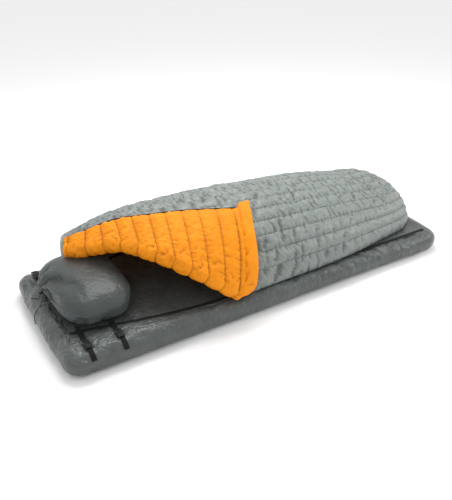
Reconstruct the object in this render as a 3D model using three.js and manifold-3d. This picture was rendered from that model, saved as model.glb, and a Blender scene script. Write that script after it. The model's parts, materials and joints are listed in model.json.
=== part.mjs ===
// A down camp quilt on its fitted sheet, with the mattress inside the sheet and a strapped pillow.
// Millimetres. +X points to the foot end, -Y is the side where the quilt is folded open, +Z is up.
// The origin is the centre of the mattress's underside.
import * as THREE from 'three';
import { mergeVertices } from 'three/addons/utils/BufferGeometryUtils.js';
import Module from 'manifold-3d';

const wasm = await Module();
wasm.setup();

// ---- driving dimensions -------------------------------------------------------------------
const gap = 0.3; // between pieces that touch
const skin = 1.2; // fabric, drawn thicker than cloth

const padLength = 1960;
const padWidth = 730;
const padThickness = 100;
const padCorner = 90; // plan radius of the corners
const hemReach = 75; // how far the sheet's hem turns under the mattress
const elasticWidth = 8;

// Places along the bed are measured from the mattress's ends, and places across it from its sides.
const headEnd = -padLength / 2;
const footEnd = padLength / 2;
const flank = padWidth / 2;

const seamHalf = flank - 71; // the sheet's top seam, from the middle, beside the quilt
const seamHeadHalf = flank - 178; // the same at the head end
const seamEnd = footEnd - 80; // where the seam stops, from the middle
const seamTaperFrom = headEnd + 790; // where the seam starts to draw in towards the head
const pipingWidth = 14;
const pipingHeight = 2.4;

const quiltHead = headEnd + 215; // x of the quilt's head edge
const quiltFoot = footEnd - 25; // x where the channels end
const quiltFootTip = footEnd - 6;
const capFrom = footEnd - 380; // x where the foot box starts to close
const capPowerWide = 3.7;
const capPowerHigh = 5.1;
const loft = 32; // thickness of a channel at its crown
const bindingThick = 5;
const quilting = 7; // how deep a seam is sewn in
const channelCount = 15;
const firstChannel = 88; // width of the channel along the near edge; the others share the rest
const farDrop = 58; // how far the far edge hangs down beside the mattress
const dropFadeFrom = footEnd - 680; // x where that hang starts to fade
const dropFadeTo = footEnd - 460;
const dropLeast = 1;

const foldHead = { x: headEnd + 232, angle: 89 }; // the fold, as places on the quilt: x and section angle
const foldFoot = { x: headEnd + 755, angle: 2 };
const flapHead = { x: headEnd + 235, angle: 86.5 }; // the folded-over head edge
const flapFoot = { x: headEnd + 908, angle: 70.5 };
const foldRadius = 31;
const flapLoft = 27;
const flapStart = 0.12; // share of the fold where the flap is wide enough to be a panel
const collarWidth = 37;
const collarHeight = 38;
const collarTop = 74; // section angle where the collar ends

const pillow = { x: headEnd + 215, y: 10, z: padThickness + 54, halfLong: 155, halfWide: 210, rise: 86 };
const mouthRadius = 5;
const mouthY = 67;

const strapWidth = 20;
const strapThick = 1.4;
const nearStraps = { head: headEnd + 112, foot: headEnd + 244 };
const farStraps = { head: headEnd + 92, foot: headEnd + 244 };
const buckleFrom = flank - 101; // distance from the middle where the buckle starts
const buckleWidth = 27;
const buckleThick = 8;
const maleLength = 22;
const femaleLength = 26;
const prongLength = 12;
const prongThick = 4;

const cordDiameter = 2.6;
const lockRadius = 6;
const lockLength = 15;

// ---- small tools --------------------------------------------------------------------------
const radians = THREE.MathUtils.degToRad;
const vec = (x, y, z) => new THREE.Vector3(x, y, z);
const mix = THREE.MathUtils.lerp;
const smooth = THREE.MathUtils.smoothstep;

// A smooth curve through the rows of a table, flat beyond its ends.
function through(xs, ys) {
  const slope = xs.map((_, i) => {
    const a = Math.max(i - 1, 0);
    const b = Math.min(i + 1, xs.length - 1);
    return (ys[b] - ys[a]) / (xs[b] - xs[a]);
  });
  return (x) => {
    if (x <= xs[0]) return ys[0];
    if (x >= xs[xs.length - 1]) return ys[xs.length - 1];
    const i = xs.findIndex((_, k) => x < xs[k + 1]);
    const wide = xs[i + 1] - xs[i];
    const u = (x - xs[i]) / wide;
    const rise = ys[i + 1] - ys[i];
    const a = slope[i] * wide - rise;
    const b = -slope[i + 1] * wide + rise;
    return mix(ys[i], ys[i + 1], u) + u * (1 - u) * (a * (1 - u) + b * u);
  };
}

// A closed body from vertices and triangles, turned so that its faces point out.
function body(points, triangles) {
  const volume = triangles.reduce((sum, [a, b, c]) => {
    return sum + points[a].dot(points[b].clone().cross(points[c]));
  }, 0);
  const index = triangles.flatMap(([a, b, c]) => (volume < 0 ? [a, c, b] : [a, b, c]));
  const geometry = new THREE.BufferGeometry().setFromPoints(points);
  geometry.setIndex(index);
  geometry.computeVertexNormals();
  return geometry;
}

const quad = (a, b, c, d) => [[a, b, c], [a, c, d]];

// A slab between two surfaces over one grid: lower(u, v) and upper(u, v), with u and v from 0 to 1.
function slab(columns, rows, lower, upper) {
  const points = [];
  for (const side of [lower, upper]) {
    for (let i = 0; i <= columns; i++) {
      for (let j = 0; j <= rows; j++) points.push(side(i / columns, j / rows));
    }
  }
  const at = (i, j, layer) => (layer * (columns + 1) + i) * (rows + 1) + j;
  const faces = [];
  for (let i = 0; i < columns; i++) {
    for (let j = 0; j < rows; j++) {
      faces.push(...quad(at(i, j, 1), at(i + 1, j, 1), at(i + 1, j + 1, 1), at(i, j + 1, 1)));
      faces.push(...quad(at(i, j, 0), at(i, j + 1, 0), at(i + 1, j + 1, 0), at(i + 1, j, 0)));
    }
    faces.push(...quad(at(i, 0, 0), at(i + 1, 0, 0), at(i + 1, 0, 1), at(i, 0, 1)));
    faces.push(...quad(at(i + 1, rows, 0), at(i, rows, 0), at(i, rows, 1), at(i + 1, rows, 1)));
  }
  for (let j = 0; j < rows; j++) {
    faces.push(...quad(at(0, j + 1, 0), at(0, j, 0), at(0, j, 1), at(0, j + 1, 1)));
    faces.push(...quad(at(columns, j, 0), at(columns, j + 1, 0), at(columns, j + 1, 1), at(columns, j, 1)));
  }
  return body(points, faces);
}

// A body through a row of rings with as many points each. outline is the ring's flat shape, for the caps.
function loftRings(rings, outline) {
  const count = rings[0].length;
  const faces = [];
  for (let r = 0; r < rings.length - 1; r++) {
    for (let k = 0; k < count; k++) {
      const next = (k + 1) % count;
      const a = r * count;
      const b = a + count;
      faces.push(...quad(a + k, a + next, b + next, b + k));
    }
  }
  const last = (rings.length - 1) * count;
  const clockwise = THREE.ShapeUtils.isClockWise(outline);
  for (const triangle of THREE.ShapeUtils.triangulateShape(outline, [])) {
    const [a, b, c] = clockwise ? [...triangle].reverse() : triangle;
    faces.push([c, b, a]);
    faces.push([last + a, last + b, last + c]);
  }
  return body(rings.flat(), faces);
}

function toSolid(geometry) {
  const bare = new THREE.BufferGeometry();
  bare.setAttribute('position', geometry.getAttribute('position'));
  bare.setIndex(geometry.getIndex());
  const merged = mergeVertices(bare, 1e-3);
  const vertProperties = merged.attributes.position.array;
  const triVerts = new Uint32Array(merged.index.array);
  return new wasm.Manifold(new wasm.Mesh({ numProp: 3, vertProperties, triVerts }));
}

function toGeometry(solid) {
  const mesh = solid.getMesh();
  const geometry = new THREE.BufferGeometry();
  geometry.setAttribute('position', new THREE.BufferAttribute(mesh.vertProperties, 3));
  geometry.setIndex(new THREE.BufferAttribute(mesh.triVerts, 1));
  geometry.computeVertexNormals();
  return geometry;
}

const box = (x, y, z, at) => new THREE.BoxGeometry(x, y, z).translate(at.x, at.y, at.z);

// ---- materials ----------------------------------------------------------------------------
const finish = (color, roughness, metalness = 0) => ({ color, roughness, metalness });
const finishes = {
  shell: finish(0x9ca6a0, 0.55),
  lining: finish(0xf7972a, 0.6),
  down: finish(0xf1efe8, 0.95),
  sheet: finish(0x5a615d, 0.5),
  sack: finish(0x5e6766, 0.5),
  binding: finish(0x232624, 0.8),
  webbing: finish(0x141514, 0.85),
  buckle: finish(0x101111, 0.4),
  mattress: finish(0x4b5a66, 0.6),
};

const object = new THREE.Group();

function add(name, geometry, slot) {
  const mesh = new THREE.Mesh(geometry, new THREE.MeshStandardMaterial(finishes[slot]));
  mesh.name = name;
  object.add(mesh);
}

// ---- mattress and fitted sheet ------------------------------------------------------------
function planRing(inset, z) {
  const steps = 6;
  const radius = padCorner - inset;
  const points = [];
  for (const [sx, sy, start] of [[1, 1, 0], [-1, 1, 90], [-1, -1, 180], [1, -1, 270]]) {
    for (let k = 0; k <= steps; k++) {
      const angle = radians(start + (90 * k) / steps);
      const x = sx * (padLength / 2 - padCorner) + radius * Math.cos(angle);
      const y = sy * (padWidth / 2 - padCorner) + radius * Math.sin(angle);
      points.push(vec(x, y, z));
    }
  }
  return points;
}

// A pad with half-round sides, shrunk all round by the given amount.
function padBody(shrink, plinth) {
  const half = padThickness / 2;
  const radius = half - shrink;
  const rings = [];
  if (plinth) {
    rings.push(planRing(plinth, 0));
    rings.push(planRing(plinth, shrink));
  }
  for (let k = 0; k <= 8; k++) {
    const angle = radians(-90 + (180 * k) / 8);
    rings.push(planRing(half - radius * Math.cos(angle), half + radius * Math.sin(angle)));
  }
  return loftRings(rings, rings[0].map((p) => new THREE.Vector2(p.x, p.y)));
}

function plate(shape, from, to) {
  const geometry = new THREE.ExtrudeGeometry(shape, { depth: to - from, bevelEnabled: false });
  return geometry.translate(0, 0, from);
}

// The seam of the sheet's top panel on one side, from the head to the foot, moved out by offset.
function seamLine(side, offset) {
  const reach = seamHalf - seamHeadHalf;
  const curve = new THREE.CubicBezierCurve(
    new THREE.Vector2(-seamEnd, seamHeadHalf),
    new THREE.Vector2(mix(-seamEnd, seamTaperFrom, 0.32), seamHeadHalf + 0.35 * reach),
    new THREE.Vector2(mix(-seamEnd, seamTaperFrom, 0.55), seamHalf - 0.02 * reach),
    new THREE.Vector2(seamTaperFrom, seamHalf),
  );
  const points = curve.getPoints(9);
  points.push(new THREE.Vector2(seamEnd, seamHalf));
  return points.map((p) => new THREE.Vector2(p.x, side * (p.y + offset)));
}

// How far the seam is from the middle at one place along the bed.
function seamAt(x) {
  const line = seamLine(1, 0);
  const i = line.findIndex((p) => p.x > x);
  const [a, b] = [line[i - 1], line[i]];
  return mix(a.y, b.y, (x - a.x) / (b.x - a.x));
}

function topOutline(grow) {
  const near = seamLine(-1, grow);
  const far = seamLine(1, grow).reverse();
  near[0].x -= grow;
  near[near.length - 1].x += grow;
  far[0].x += grow;
  far[far.length - 1].x -= grow;
  return new THREE.Shape([...near, ...far]);
}

function rectangle(length, width, corner) {
  const shape = new THREE.Shape();
  const x = length / 2;
  const y = width / 2;
  shape.moveTo(-x + corner, -y);
  shape.lineTo(x - corner, -y);
  shape.absarc(x - corner, -y + corner, corner, -Math.PI / 2, 0);
  shape.lineTo(x, y - corner);
  shape.absarc(x - corner, y - corner, corner, 0, Math.PI / 2);
  shape.lineTo(-x + corner, y);
  shape.absarc(-x + corner, y - corner, corner, Math.PI / 2, Math.PI);
  shape.lineTo(-x, -y + corner);
  shape.absarc(-x + corner, -y + corner, corner, Math.PI, Math.PI * 1.5);
  return shape;
}

function makeMattress() {
  const coreInset = hemReach + elasticWidth + 3 * gap;
  add('mattress_core', padBody(skin + gap, coreInset), 'mattress');

  const outer = toSolid(padBody(0));
  const inner = toSolid(padBody(skin));
  const lift = toSolid(plate(rectangle(padLength + 10, padWidth + 10, padCorner), -1, gap));
  const hole = toSolid(plate(rectangle(
    padLength - 2 * hemReach, padWidth - 2 * hemReach, padCorner - hemReach), -1, 2 * skin));
  const cover = outer.subtract(inner).subtract(hole).subtract(lift);
  const topCut = toSolid(plate(topOutline(gap), padThickness / 2, padThickness + 1));
  const topKeep = toSolid(plate(topOutline(0), padThickness / 2, padThickness + 1));
  add('sheet_side_panel', toGeometry(cover.subtract(topCut)), 'sheet');
  add('sheet_top_panel', toGeometry(cover.intersect(topKeep)), 'sheet');

  const band = rectangle(
    padLength - 2 * (hemReach + gap), padWidth - 2 * (hemReach + gap), padCorner - hemReach);
  const innerReach = hemReach + gap + elasticWidth;
  band.holes.push(rectangle(
    padLength - 2 * innerReach, padWidth - 2 * innerReach, 6));
  add('sheet_hem_elastic', plate(band, gap, skin), 'binding');

  for (const [name, side] of [['near', -1], ['far', 1]]) {
    const line = [...seamLine(side, pipingWidth / 2), ...seamLine(side, -pipingWidth / 2).reverse()];
    const from = padThickness + gap;
    add(`attachment_strip_${name}`, plate(new THREE.Shape(line), from, from + pipingHeight), 'binding');
  }
}

// ---- the quilt's surface ------------------------------------------------------------------
const stations = [
  quiltHead, headEnd + 240, headEnd + 430, headEnd + 630, headEnd + 880,
  footEnd - 780, footEnd - 480, footEnd - 260,
];
const fromFlank = (list) => list.map((inset) => flank - inset);
const crestHeight = through(stations, [163, 176, 253, 280, 290, 269, 236, 192]);
const nearEdge = through(
  [quiltHead, 0, footEnd - 580, footEnd - 260], fromFlank([37, 41, 54, 100]).map((out) => -out));
const farEdge = through(
  [quiltHead, headEnd + 780, footEnd - 580, footEnd - 260], fromFlank([-52, -49, -44, -26]));
const crestLine = through([quiltHead, headEnd + 530, headEnd + 880, footEnd - 260], [220, 140, 66, 44]);
const quiltBase = padThickness + gap + pipingHeight + gap + dropLeast;
const lastAngle = 190; // section angles past 180 run down the hanging far edge

function onQuilt(x, angle) {
  const q = THREE.MathUtils.clamp((x - capFrom) / (quiltFootTip - capFrom), 0, 1);
  const wide = Math.sqrt(1 - q ** capPowerWide);
  const high = Math.sqrt(1 - q ** capPowerHigh);
  const middle = crestLine(x);
  const t = radians(Math.min(angle, 180));
  const reach = angle < 90 ? middle - nearEdge(x) : farEdge(x) - middle;
  const drop = mix(farDrop, dropLeast, smooth(x, dropFadeFrom, dropFadeTo));
  const hang = (drop * Math.max(angle - 180, 0)) / (lastAngle - 180);
  return vec(x, middle - reach * wide * Math.cos(t), quiltBase + crestHeight(x) * high * Math.sin(t) - hang);
}

// A point of the quilt's surface, moved out along the surface's normal.
function quiltPoint(x, angle, offset) {
  const step = 0.05;
  const along = onQuilt(x + step, angle).sub(onQuilt(x - step, angle));
  const low = Math.max(angle - step, 0);
  const high = Math.min(angle + step, lastAngle);
  const around = onQuilt(x, high).sub(onQuilt(x, low));
  const normal = around.cross(along).normalize();
  const outward = vec(0, -Math.cos(radians(Math.min(angle, 180))), Math.sin(radians(Math.min(angle, 180))));
  if (normal.dot(outward) < 0) normal.negate();
  return onQuilt(x, angle).addScaledVector(normal, offset);
}

// The section angles of the seams, spaced along the fabric at the middle of the quilt.
function seamAngles() {
  const steps = 380;
  const lengths = [0];
  for (let k = 1; k <= steps; k++) {
    const a = onQuilt(0, (lastAngle * (k - 1)) / steps);
    lengths.push(lengths[k - 1] + a.distanceTo(onQuilt(0, (lastAngle * k) / steps)));
  }
  return Array.from({ length: channelCount + 1 }, (_, n) => {
    const rest = (lengths[steps] - firstChannel) / (channelCount - 1);
    const wanted = n === 0 ? 0 : firstChannel + rest * (n - 1);
    const k = Math.max(lengths.findIndex((s) => s >= wanted - 1e-9), 1);
    const share = (wanted - lengths[k - 1]) / (lengths[k] - lengths[k - 1]);
    return (lastAngle * (k - 1 + share)) / steps;
  });
}
const seams = seamAngles();

// The quilt's open end: the fold up to the crest, then the head edge down the far side.
const foldInset = 30; // the fold's round nose stands in front of the channels by this much in x
function openEnd(angle) {
  const fold = mix(foldFoot.x, foldHead.x, (angle - foldFoot.angle) / (foldHead.angle - foldFoot.angle));
  const blend = smooth(angle, foldHead.angle - 5, foldHead.angle + 9);
  return mix(fold + foldInset, quiltHead + 0.2 * foldInset, blend);
}

const lengthSteps = 12;
function quiltGrid(u, angle, offset) {
  const start = openEnd(angle);
  return quiltPoint(mix(start, quiltFoot, 1 - (1 - u) ** 1.6), angle, offset);
}

// Two rows per channel: even rows are seams, odd rows are crowns.
function rowAngle(row) {
  const n = Math.floor(row / 2);
  return row % 2 ? (seams[n] + seams[n + 1]) / 2 : seams[n];
}

function layer(depthCrown, depthSeam) {
  const rows = 2 * channelCount;
  return (u, v) => {
    const row = Math.round(v * rows);
    return quiltGrid(u, rowAngle(row), row % 2 ? depthCrown : depthSeam);
  };
}

const fillTop = -skin - gap;
const fillBottom = fillTop - loft;

function makeQuilt() {
  const rows = 2 * channelCount;
  add('quilt_shell', slab(lengthSteps, rows, layer(-skin, -skin - quilting), layer(0, -quilting)), 'shell');
  const liningTop = fillBottom - 2 * gap;
  add('quilt_lining', slab(
    lengthSteps, rows,
    layer(liningTop - skin, liningTop - skin + quilting),
    layer(liningTop, liningTop + quilting),
  ), 'lining');

  const baffle = 0.4; // degrees left between neighbouring channels for the sewn baffle
  for (let n = 0; n < channelCount; n++) {
    const angles = [seams[n] + baffle, rowAngle(2 * n + 1), seams[n + 1] - baffle];
    if (n === 0) angles[0] = 0;
    if (n === channelCount - 1) angles[2] = lastAngle;
    const side = (crown, seam) => (u, v) => {
      const k = Math.round(v * 2);
      return quiltGrid(u, angles[k], k === 1 ? crown : seam);
    };
    const number = String(n + 1).padStart(2, '0');
    add(`down_channel_${number}`, slab(
      lengthSteps, 2, side(fillBottom, fillBottom + quilting), side(fillTop, fillTop - quilting)), 'down');
  }

  const depth = loft + 2 * skin + 3 * gap;
  const section = [[0, 0], [-bindingThick, 0], [-bindingThick, -depth], [0, -depth]];
  const headRows = Array.from({ length: rows + 1 }, (_, row) => rowAngle(row));
  const rings = headRows.filter((angle) => angle > foldHead.angle + 9).map((angle) => {
    return section.map(([dx, d]) => quiltPoint(openEnd(angle) - 3 * gap + dx, angle, d));
  });
  const flat = section.map(([x, y]) => new THREE.Vector2(x, y));
  add('head_edge_binding', loftRings(rings, flat), 'shell');

  const dome = (x, scale) => {
    const points = Array.from({ length: 13 }, (_, k) => onQuilt(quiltFoot, (180 * k) / 12));
    const middle = vec(quiltFoot, crestLine(quiltFoot), quiltBase);
    return points.map((p) => p.sub(middle).multiplyScalar(scale).add(middle).setX(x));
  };
  const face = dome(0, 1).map((p) => new THREE.Vector2(p.y, p.z));
  const footRings = [[0, 1], [8, 0.88], [14, 0.66], [quiltFootTip - quiltFoot, 0.3]];
  add('foot_end_panel', loftRings(footRings.map(([dx, s]) => dome(quiltFoot + gap + dx, s)), face), 'shell');
}

// ---- the folded-back flap -----------------------------------------------------------------
const foldAt = (a) => ({
  x: mix(foldHead.x, foldFoot.x, a) + 0.5 * foldInset,
  angle: mix(foldHead.angle, foldFoot.angle, a) + 2,
});
const flapEdgeAt = (a) => ({
  x: mix(flapHead.x, flapFoot.x, a),
  angle: mix(flapHead.angle, flapFoot.angle, a ** 1.2),
});

// A point of the flap: a runs along the fold, b from the fold to the flap's top edge.
function flapPoint(a, b, offset) {
  const low = foldAt(a);
  const high = flapEdgeAt(a);
  return quiltPoint(mix(low.x, high.x, b), mix(low.angle, high.angle, b), offset);
}

// The part of the flap that stays with the fold when the flap is lifted.
const rootShare = (a) => 0.3 + 0.22 * Math.sin(Math.PI * a);
const flapFrom = 2; // the flap rests this far above the crowns of the channels under it

function makeFlap() {
  const across = 16;
  const up = 4;
  const share = (u) => mix(flapStart, 1, u);
  const level = (d) => (u, v) => {
    const a = share(u);
    return flapPoint(a, mix(rootShare(a), 1, v), d);
  };
  const shellTop = flapFrom + skin;
  const downTop = shellTop + gap + flapLoft;
  const liningTop = downTop + gap + skin;
  add('flap_shell', slab(across, up, level(flapFrom), level(shellTop)), 'shell');
  add('flap_down', slab(across, up, level(shellTop + gap), level(downTop)), 'down');
  add('flap_lining', slab(across, up, level(downTop + gap), level(liningTop)), 'lining');

  const hem = (d) => (u, v) => {
    const edge = flapEdgeAt(share(u));
    return quiltPoint(edge.x, edge.angle + 0.15 + 0.9 * v, d);
  };
  add('flap_hem', slab(across, 1, hem(flapFrom), hem(liningTop)), 'binding');

  const collar = (d) => (u, v) => {
    const angle = mix(foldFoot.angle + 3, collarTop, u);
    const low = foldAt(1);
    const rise = (angle - low.angle) / (flapFoot.angle - low.angle);
    const left = mix(low.x, flapFoot.x, rise) + 4 * gap;
    return quiltPoint(left + v * collarWidth, angle, d);
  };
  add('draft_collar', slab(8, 2, collar(flapFrom), collar(flapFrom + collarHeight)), 'lining');

  const depth = loft + 2 * skin + 2 * gap;
  const middle = (liningTop - depth) / 2;
  const half = (liningTop + depth) / 2;
  const nose = Array.from({ length: 7 }, (_, k) => {
    const angle = radians(-90 + 30 * k);
    return { forward: 5 + (foldRadius - 8) * Math.cos(angle), offset: middle + half * Math.sin(angle) };
  });
  const rings = [];
  const rootSteps = [0.25, 0.5, 0.75, 1];
  const sections = 15;
  for (let k = 0; k <= sections; k++) {
    const a = mix(flapStart, 0.93, k / sections);
    const at = foldAt(a);
    const here = quiltPoint(at.x, at.angle, 0);
    const beside = quiltPoint(foldAt(a + 0.01).x, foldAt(a + 0.01).angle, 0).sub(here).normalize();
    const normal = quiltPoint(at.x, at.angle, 1).sub(here);
    const forward = beside.clone().cross(normal).normalize();
    if (forward.dot(flapPoint(a, 0.3, 0).sub(here)) > 0) forward.negate();
    const ring = nose.map((p) => {
      return quiltPoint(at.x, at.angle, p.offset).addScaledVector(forward, p.forward);
    });
    const root = rootShare(a) - 0.02;
    for (const step of rootSteps) ring.push(flapPoint(a, step * root, liningTop));
    for (const step of [...rootSteps].reverse()) ring.push(flapPoint(a, step * root, flapFrom));
    ring.push(quiltPoint(at.x, at.angle, flapFrom).addScaledVector(forward, 5));
    rings.push(ring);
  }
  const outline = nose.map((p) => new THREE.Vector2(-p.forward, p.offset));
  for (const step of rootSteps) outline.push(new THREE.Vector2(60 * step, liningTop));
  for (const step of [...rootSteps].reverse()) outline.push(new THREE.Vector2(60 * step, flapFrom));
  outline.push(new THREE.Vector2(-5, flapFrom));
  add('fold_roll', loftRings(rings, outline), 'lining');
}

// ---- pillow -------------------------------------------------------------------------------
const roundness = (v, power) => Math.sign(v) * Math.abs(v) ** power;

function pillowBody(shrink) {
  const geometry = new THREE.SphereGeometry(1, 20, 12).rotateX(Math.PI / 2);
  const at = geometry.getAttribute('position');
  for (let i = 0; i < at.count; i++) {
    const z = at.getZ(i);
    const height = z > 0 ? pillow.rise : pillow.z - padThickness - gap;
    at.setXYZ(
      i,
      pillow.x + (pillow.halfLong - shrink) * roundness(at.getX(i), 0.75),
      pillow.y + (pillow.halfWide - shrink) * roundness(at.getY(i), 0.7),
      pillow.z + (height - shrink) * roundness(z, 0.8),
    );
  }
  return geometry;
}

const lockAt = vec(pillow.x - pillow.halfLong + 1.2 - lockLength / 2, mouthY, pillow.z);

function makePillow() {
  const mouth = new THREE.CylinderGeometry(mouthRadius, mouthRadius, 60, 12).rotateZ(Math.PI / 2);
  mouth.translate(pillow.x - pillow.halfLong, mouthY, pillow.z);
  const sack = toSolid(pillowBody(0)).subtract(toSolid(pillowBody(skin))).subtract(toSolid(mouth));
  add('pillow_sack', toGeometry(sack), 'sack');
  add('pillow_fill', pillowBody(skin + gap + 0.2), 'down');
}

function makeCordLock() {
  const half = lockLength / 2;
  const bore = lockRadius - 2.2;
  const profile = [
    [half, bore], [-half + 2, bore], [-half + 2, 0], [-half, 0],
    [-half, lockRadius], [half, lockRadius], [half, bore],
  ];
  const barrel = new THREE.LatheGeometry(profile.map(([y, r]) => new THREE.Vector2(r, y)), 16);
  barrel.rotateZ(Math.PI / 2).translate(lockAt.x, lockAt.y, lockAt.z);
  add('cord_lock_barrel', barrel, 'buckle');
  const stem = new THREE.CylinderGeometry(bore - gap, bore - gap, lockLength, 16).rotateZ(Math.PI / 2);
  stem.translate(lockAt.x - 6.5, lockAt.y, lockAt.z);
  add('cord_lock_plunger', stem, 'buckle');
}

function tube(points, diameter, steps) {
  const section = new THREE.Shape();
  for (let k = 0; k < 8; k++) {
    const angle = (k * Math.PI) / 4;
    const x = (diameter / 2) * Math.cos(angle);
    const y = (diameter / 2) * Math.sin(angle);
    if (k === 0) section.moveTo(x, y);
    else section.lineTo(x, y);
  }
  section.closePath();
  const path = new THREE.CatmullRomCurve3(points.map(([x, y, z]) => vec(x, y, z)));
  return new THREE.ExtrudeGeometry(section, { steps, extrudePath: path, bevelEnabled: false });
}

// Each tail leaves the lock's underside and falls to the sheet. Places are x from the mattress's
// head end, y, and the height over its top.
const fallen = (points) => points.map(([x, y, z]) => [headEnd + x, y, padThickness + z]);

// The long one then goes over the round head end: points are an angle from the top, and y.
const roundEnd = (points, lift) => points.map(([angle, y]) => {
  const round = padThickness / 2;
  const out = (round + lift) * Math.sin(radians(angle));
  return [headEnd + round - out, y, round + (round + lift) * Math.cos(radians(angle))];
});

const shortTail = fallen([
  [53, 71.7, 49.3], [52, 77, 43.5], [50, 85, 31], [47, 94, 16], [43, 104, 5], [37, 115, 1.6],
]).concat(roundEnd([[23.5, 125], [29, 132]], 1.8));
const longTail = fallen([[53, 62.3, 49.3], [51, 57, 43], [47, 52, 29], [43, 51, 15], [38, 52.5, 4]]).concat(
  roundEnd([[21.5, 53], [31.5, 50], [43, 46], [54.5, 42], [66.5, 39], [79, 36.5], [91, 35], [101, 34]], 1.8));

function makeCords() {
  for (const [name, points, steps] of [['short', shortTail, 14], ['long', longTail, 22]]) {
    add(`drawcord_tail_${name}`, tube(points, cordDiameter, steps), 'webbing');
    const [x, y, z] = points[points.length - 1];
    const [px, py, pz] = points[points.length - 2];
    const forward = vec(x - px, y - py, z - pz).normalize();
    const knot = new THREE.SphereGeometry(cordDiameter, 10, 8);
    const at = vec(x, y, z).addScaledVector(forward, cordDiameter + 0.1);
    add(`drawcord_knot_${name}`, knot.translate(at.x, at.y, at.z), 'webbing');
  }
}

// ---- pillow straps ------------------------------------------------------------------------
// A flat band in the plane across the bed: points are distance from the middle and height.
function band(points, x, side) {
  const rings = points.map(([out, z], i) => {
    const [a, b] = [points[Math.max(i - 1, 0)], points[Math.min(i + 1, points.length - 1)]];
    const along = new THREE.Vector2(b[0] - a[0], b[1] - a[1]).normalize();
    const up = new THREE.Vector2(-along.y, along.x).multiplyScalar(strapThick);
    return [[-1, 0], [1, 0], [1, 1], [-1, 1]].map(([sx, k]) => {
      return vec(x + (sx * strapWidth) / 2, side * (out + k * up.x), z + k * up.y);
    });
  });
  const flat = [[-1, 0], [1, 0], [1, 1], [-1, 1]].map(([a, b]) => new THREE.Vector2(a, b));
  return loftRings(rings, flat);
}

const webBottom = padThickness + gap;
const buckleBottom = webBottom + strapThick + gap;

function makeStrap(name, x, side) {
  const overStrip = webBottom + pipingHeight + gap;
  const start = pillow.halfWide + side * pillow.y - 13.3;
  const landing = buckleFrom - 20; // the male half draws back to here when it is unclipped
  const stripEdge = seamAt(x + strapWidth / 2) + pipingWidth / 2 + 1;
  const over = Math.max(mix(start + 24, landing, 0.5), stripEdge);
  const lift = [
    [start, webBottom + 28], [start + 6, webBottom + 16], [start + 14, webBottom + 8],
    [start + 24, overStrip + 1.5], [over, overStrip + 0.2], [landing, webBottom],
  ];
  add(`${name}_webbing`, band([...lift, [buckleFrom + 8, webBottom]], x, side), 'webbing');

  const maleEnd = buckleFrom + maleLength;
  const half = buckleWidth / 2;
  const outline = new THREE.Shape([
    [-half, buckleFrom], [half, buckleFrom], [half, maleEnd - 3], [half - 3.6, maleEnd],
    [half - 3.6, maleEnd + prongLength], [half - 6.6, maleEnd + prongLength], [half - 6.6, maleEnd],
    [2, maleEnd], [2, maleEnd + prongLength - 1], [-2, maleEnd + prongLength - 1], [-2, maleEnd],
    [6.6 - half, maleEnd], [6.6 - half, maleEnd + prongLength], [3.6 - half, maleEnd + prongLength],
    [3.6 - half, maleEnd], [-half, maleEnd - 3],
  ].map(([a, b]) => new THREE.Vector2(a, b)));
  const slot = (from, to) => new THREE.Path([
    [4 - half, from], [half - 4, from], [half - 4, to], [4 - half, to],
  ].map(([a, b]) => new THREE.Vector2(a, b)));
  outline.holes.push(slot(buckleFrom + 3, buckleFrom + 6.5), slot(buckleFrom + 10, buckleFrom + 13.5));
  const middle = buckleBottom + buckleThick / 2;
  const male = plate(outline, middle - prongThick / 2, middle + prongThick / 2);
  const turned = (geometry) => {
    if (side < 0) geometry.rotateZ(Math.PI);
    return geometry.translate(x, 0, 0);
  };
  add(`${name}_buckle_male`, turned(male), 'buckle');

  const from = maleEnd + gap;
  const depth = prongLength + 1;
  const whole = toSolid(box(buckleWidth, femaleLength, buckleThick, vec(0, from + femaleLength / 2, middle)));
  const cavity = toSolid(box(
    buckleWidth - 6.2, depth + 1, prongThick + 2 * gap, vec(0, from + depth / 2 - 0.5, middle)));
  const window = toSolid(box(buckleWidth + 2, 6, prongThick + 2 * gap, vec(0, from + 8, middle)));
  const barSlot = toSolid(box(
    buckleWidth - 7, 3.4, buckleThick + 2, vec(0, from + femaleLength - 6.5, middle)));
  const female = whole.subtract(cavity).subtract(window).subtract(barSlot);
  add(`${name}_buckle_female`, turned(toGeometry(female)), 'buckle');

  const round = padThickness / 2;
  const rim = padWidth / 2 - round;
  const anchor = [[from + 10, webBottom], [rim - 3, webBottom]];
  for (let k = 0; k <= 5; k++) {
    const angle = radians(6 + 11 * k);
    anchor.push([rim + (round + gap) * Math.sin(angle), round + (round + gap) * Math.cos(angle)]);
  }
  add(`${name}_anchor`, band(anchor, x, side), 'webbing');
}

makeMattress();
makeQuilt();
makeFlap();
makePillow();
makeCordLock();
makeCords();
for (const end of ['head', 'foot']) {
  makeStrap(`near_${end}_strap`, nearStraps[end], -1);
  makeStrap(`far_${end}_strap`, farStraps[end], 1);
}

export default object;
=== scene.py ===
# %% [markdown]
# # A camp quilt, folded open at one corner
#
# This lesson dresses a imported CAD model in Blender. The object is a down quilt that lies over a
# mattress in a fitted sheet. Its near head corner is folded back to show the bright lining, and a
# stuff sack serves as a pillow, held by four short straps with side-release buckles.
#
# The CAD model fixes where everything is. Everything here is in metres, in the CAD's frame:
# +X points to the foot end, -Y is the side where the quilt is folded open, and +Z is up.

# %% Load the frame
import json
import math

import bmesh
import bpy
import numpy as np
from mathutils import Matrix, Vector, noise


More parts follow.
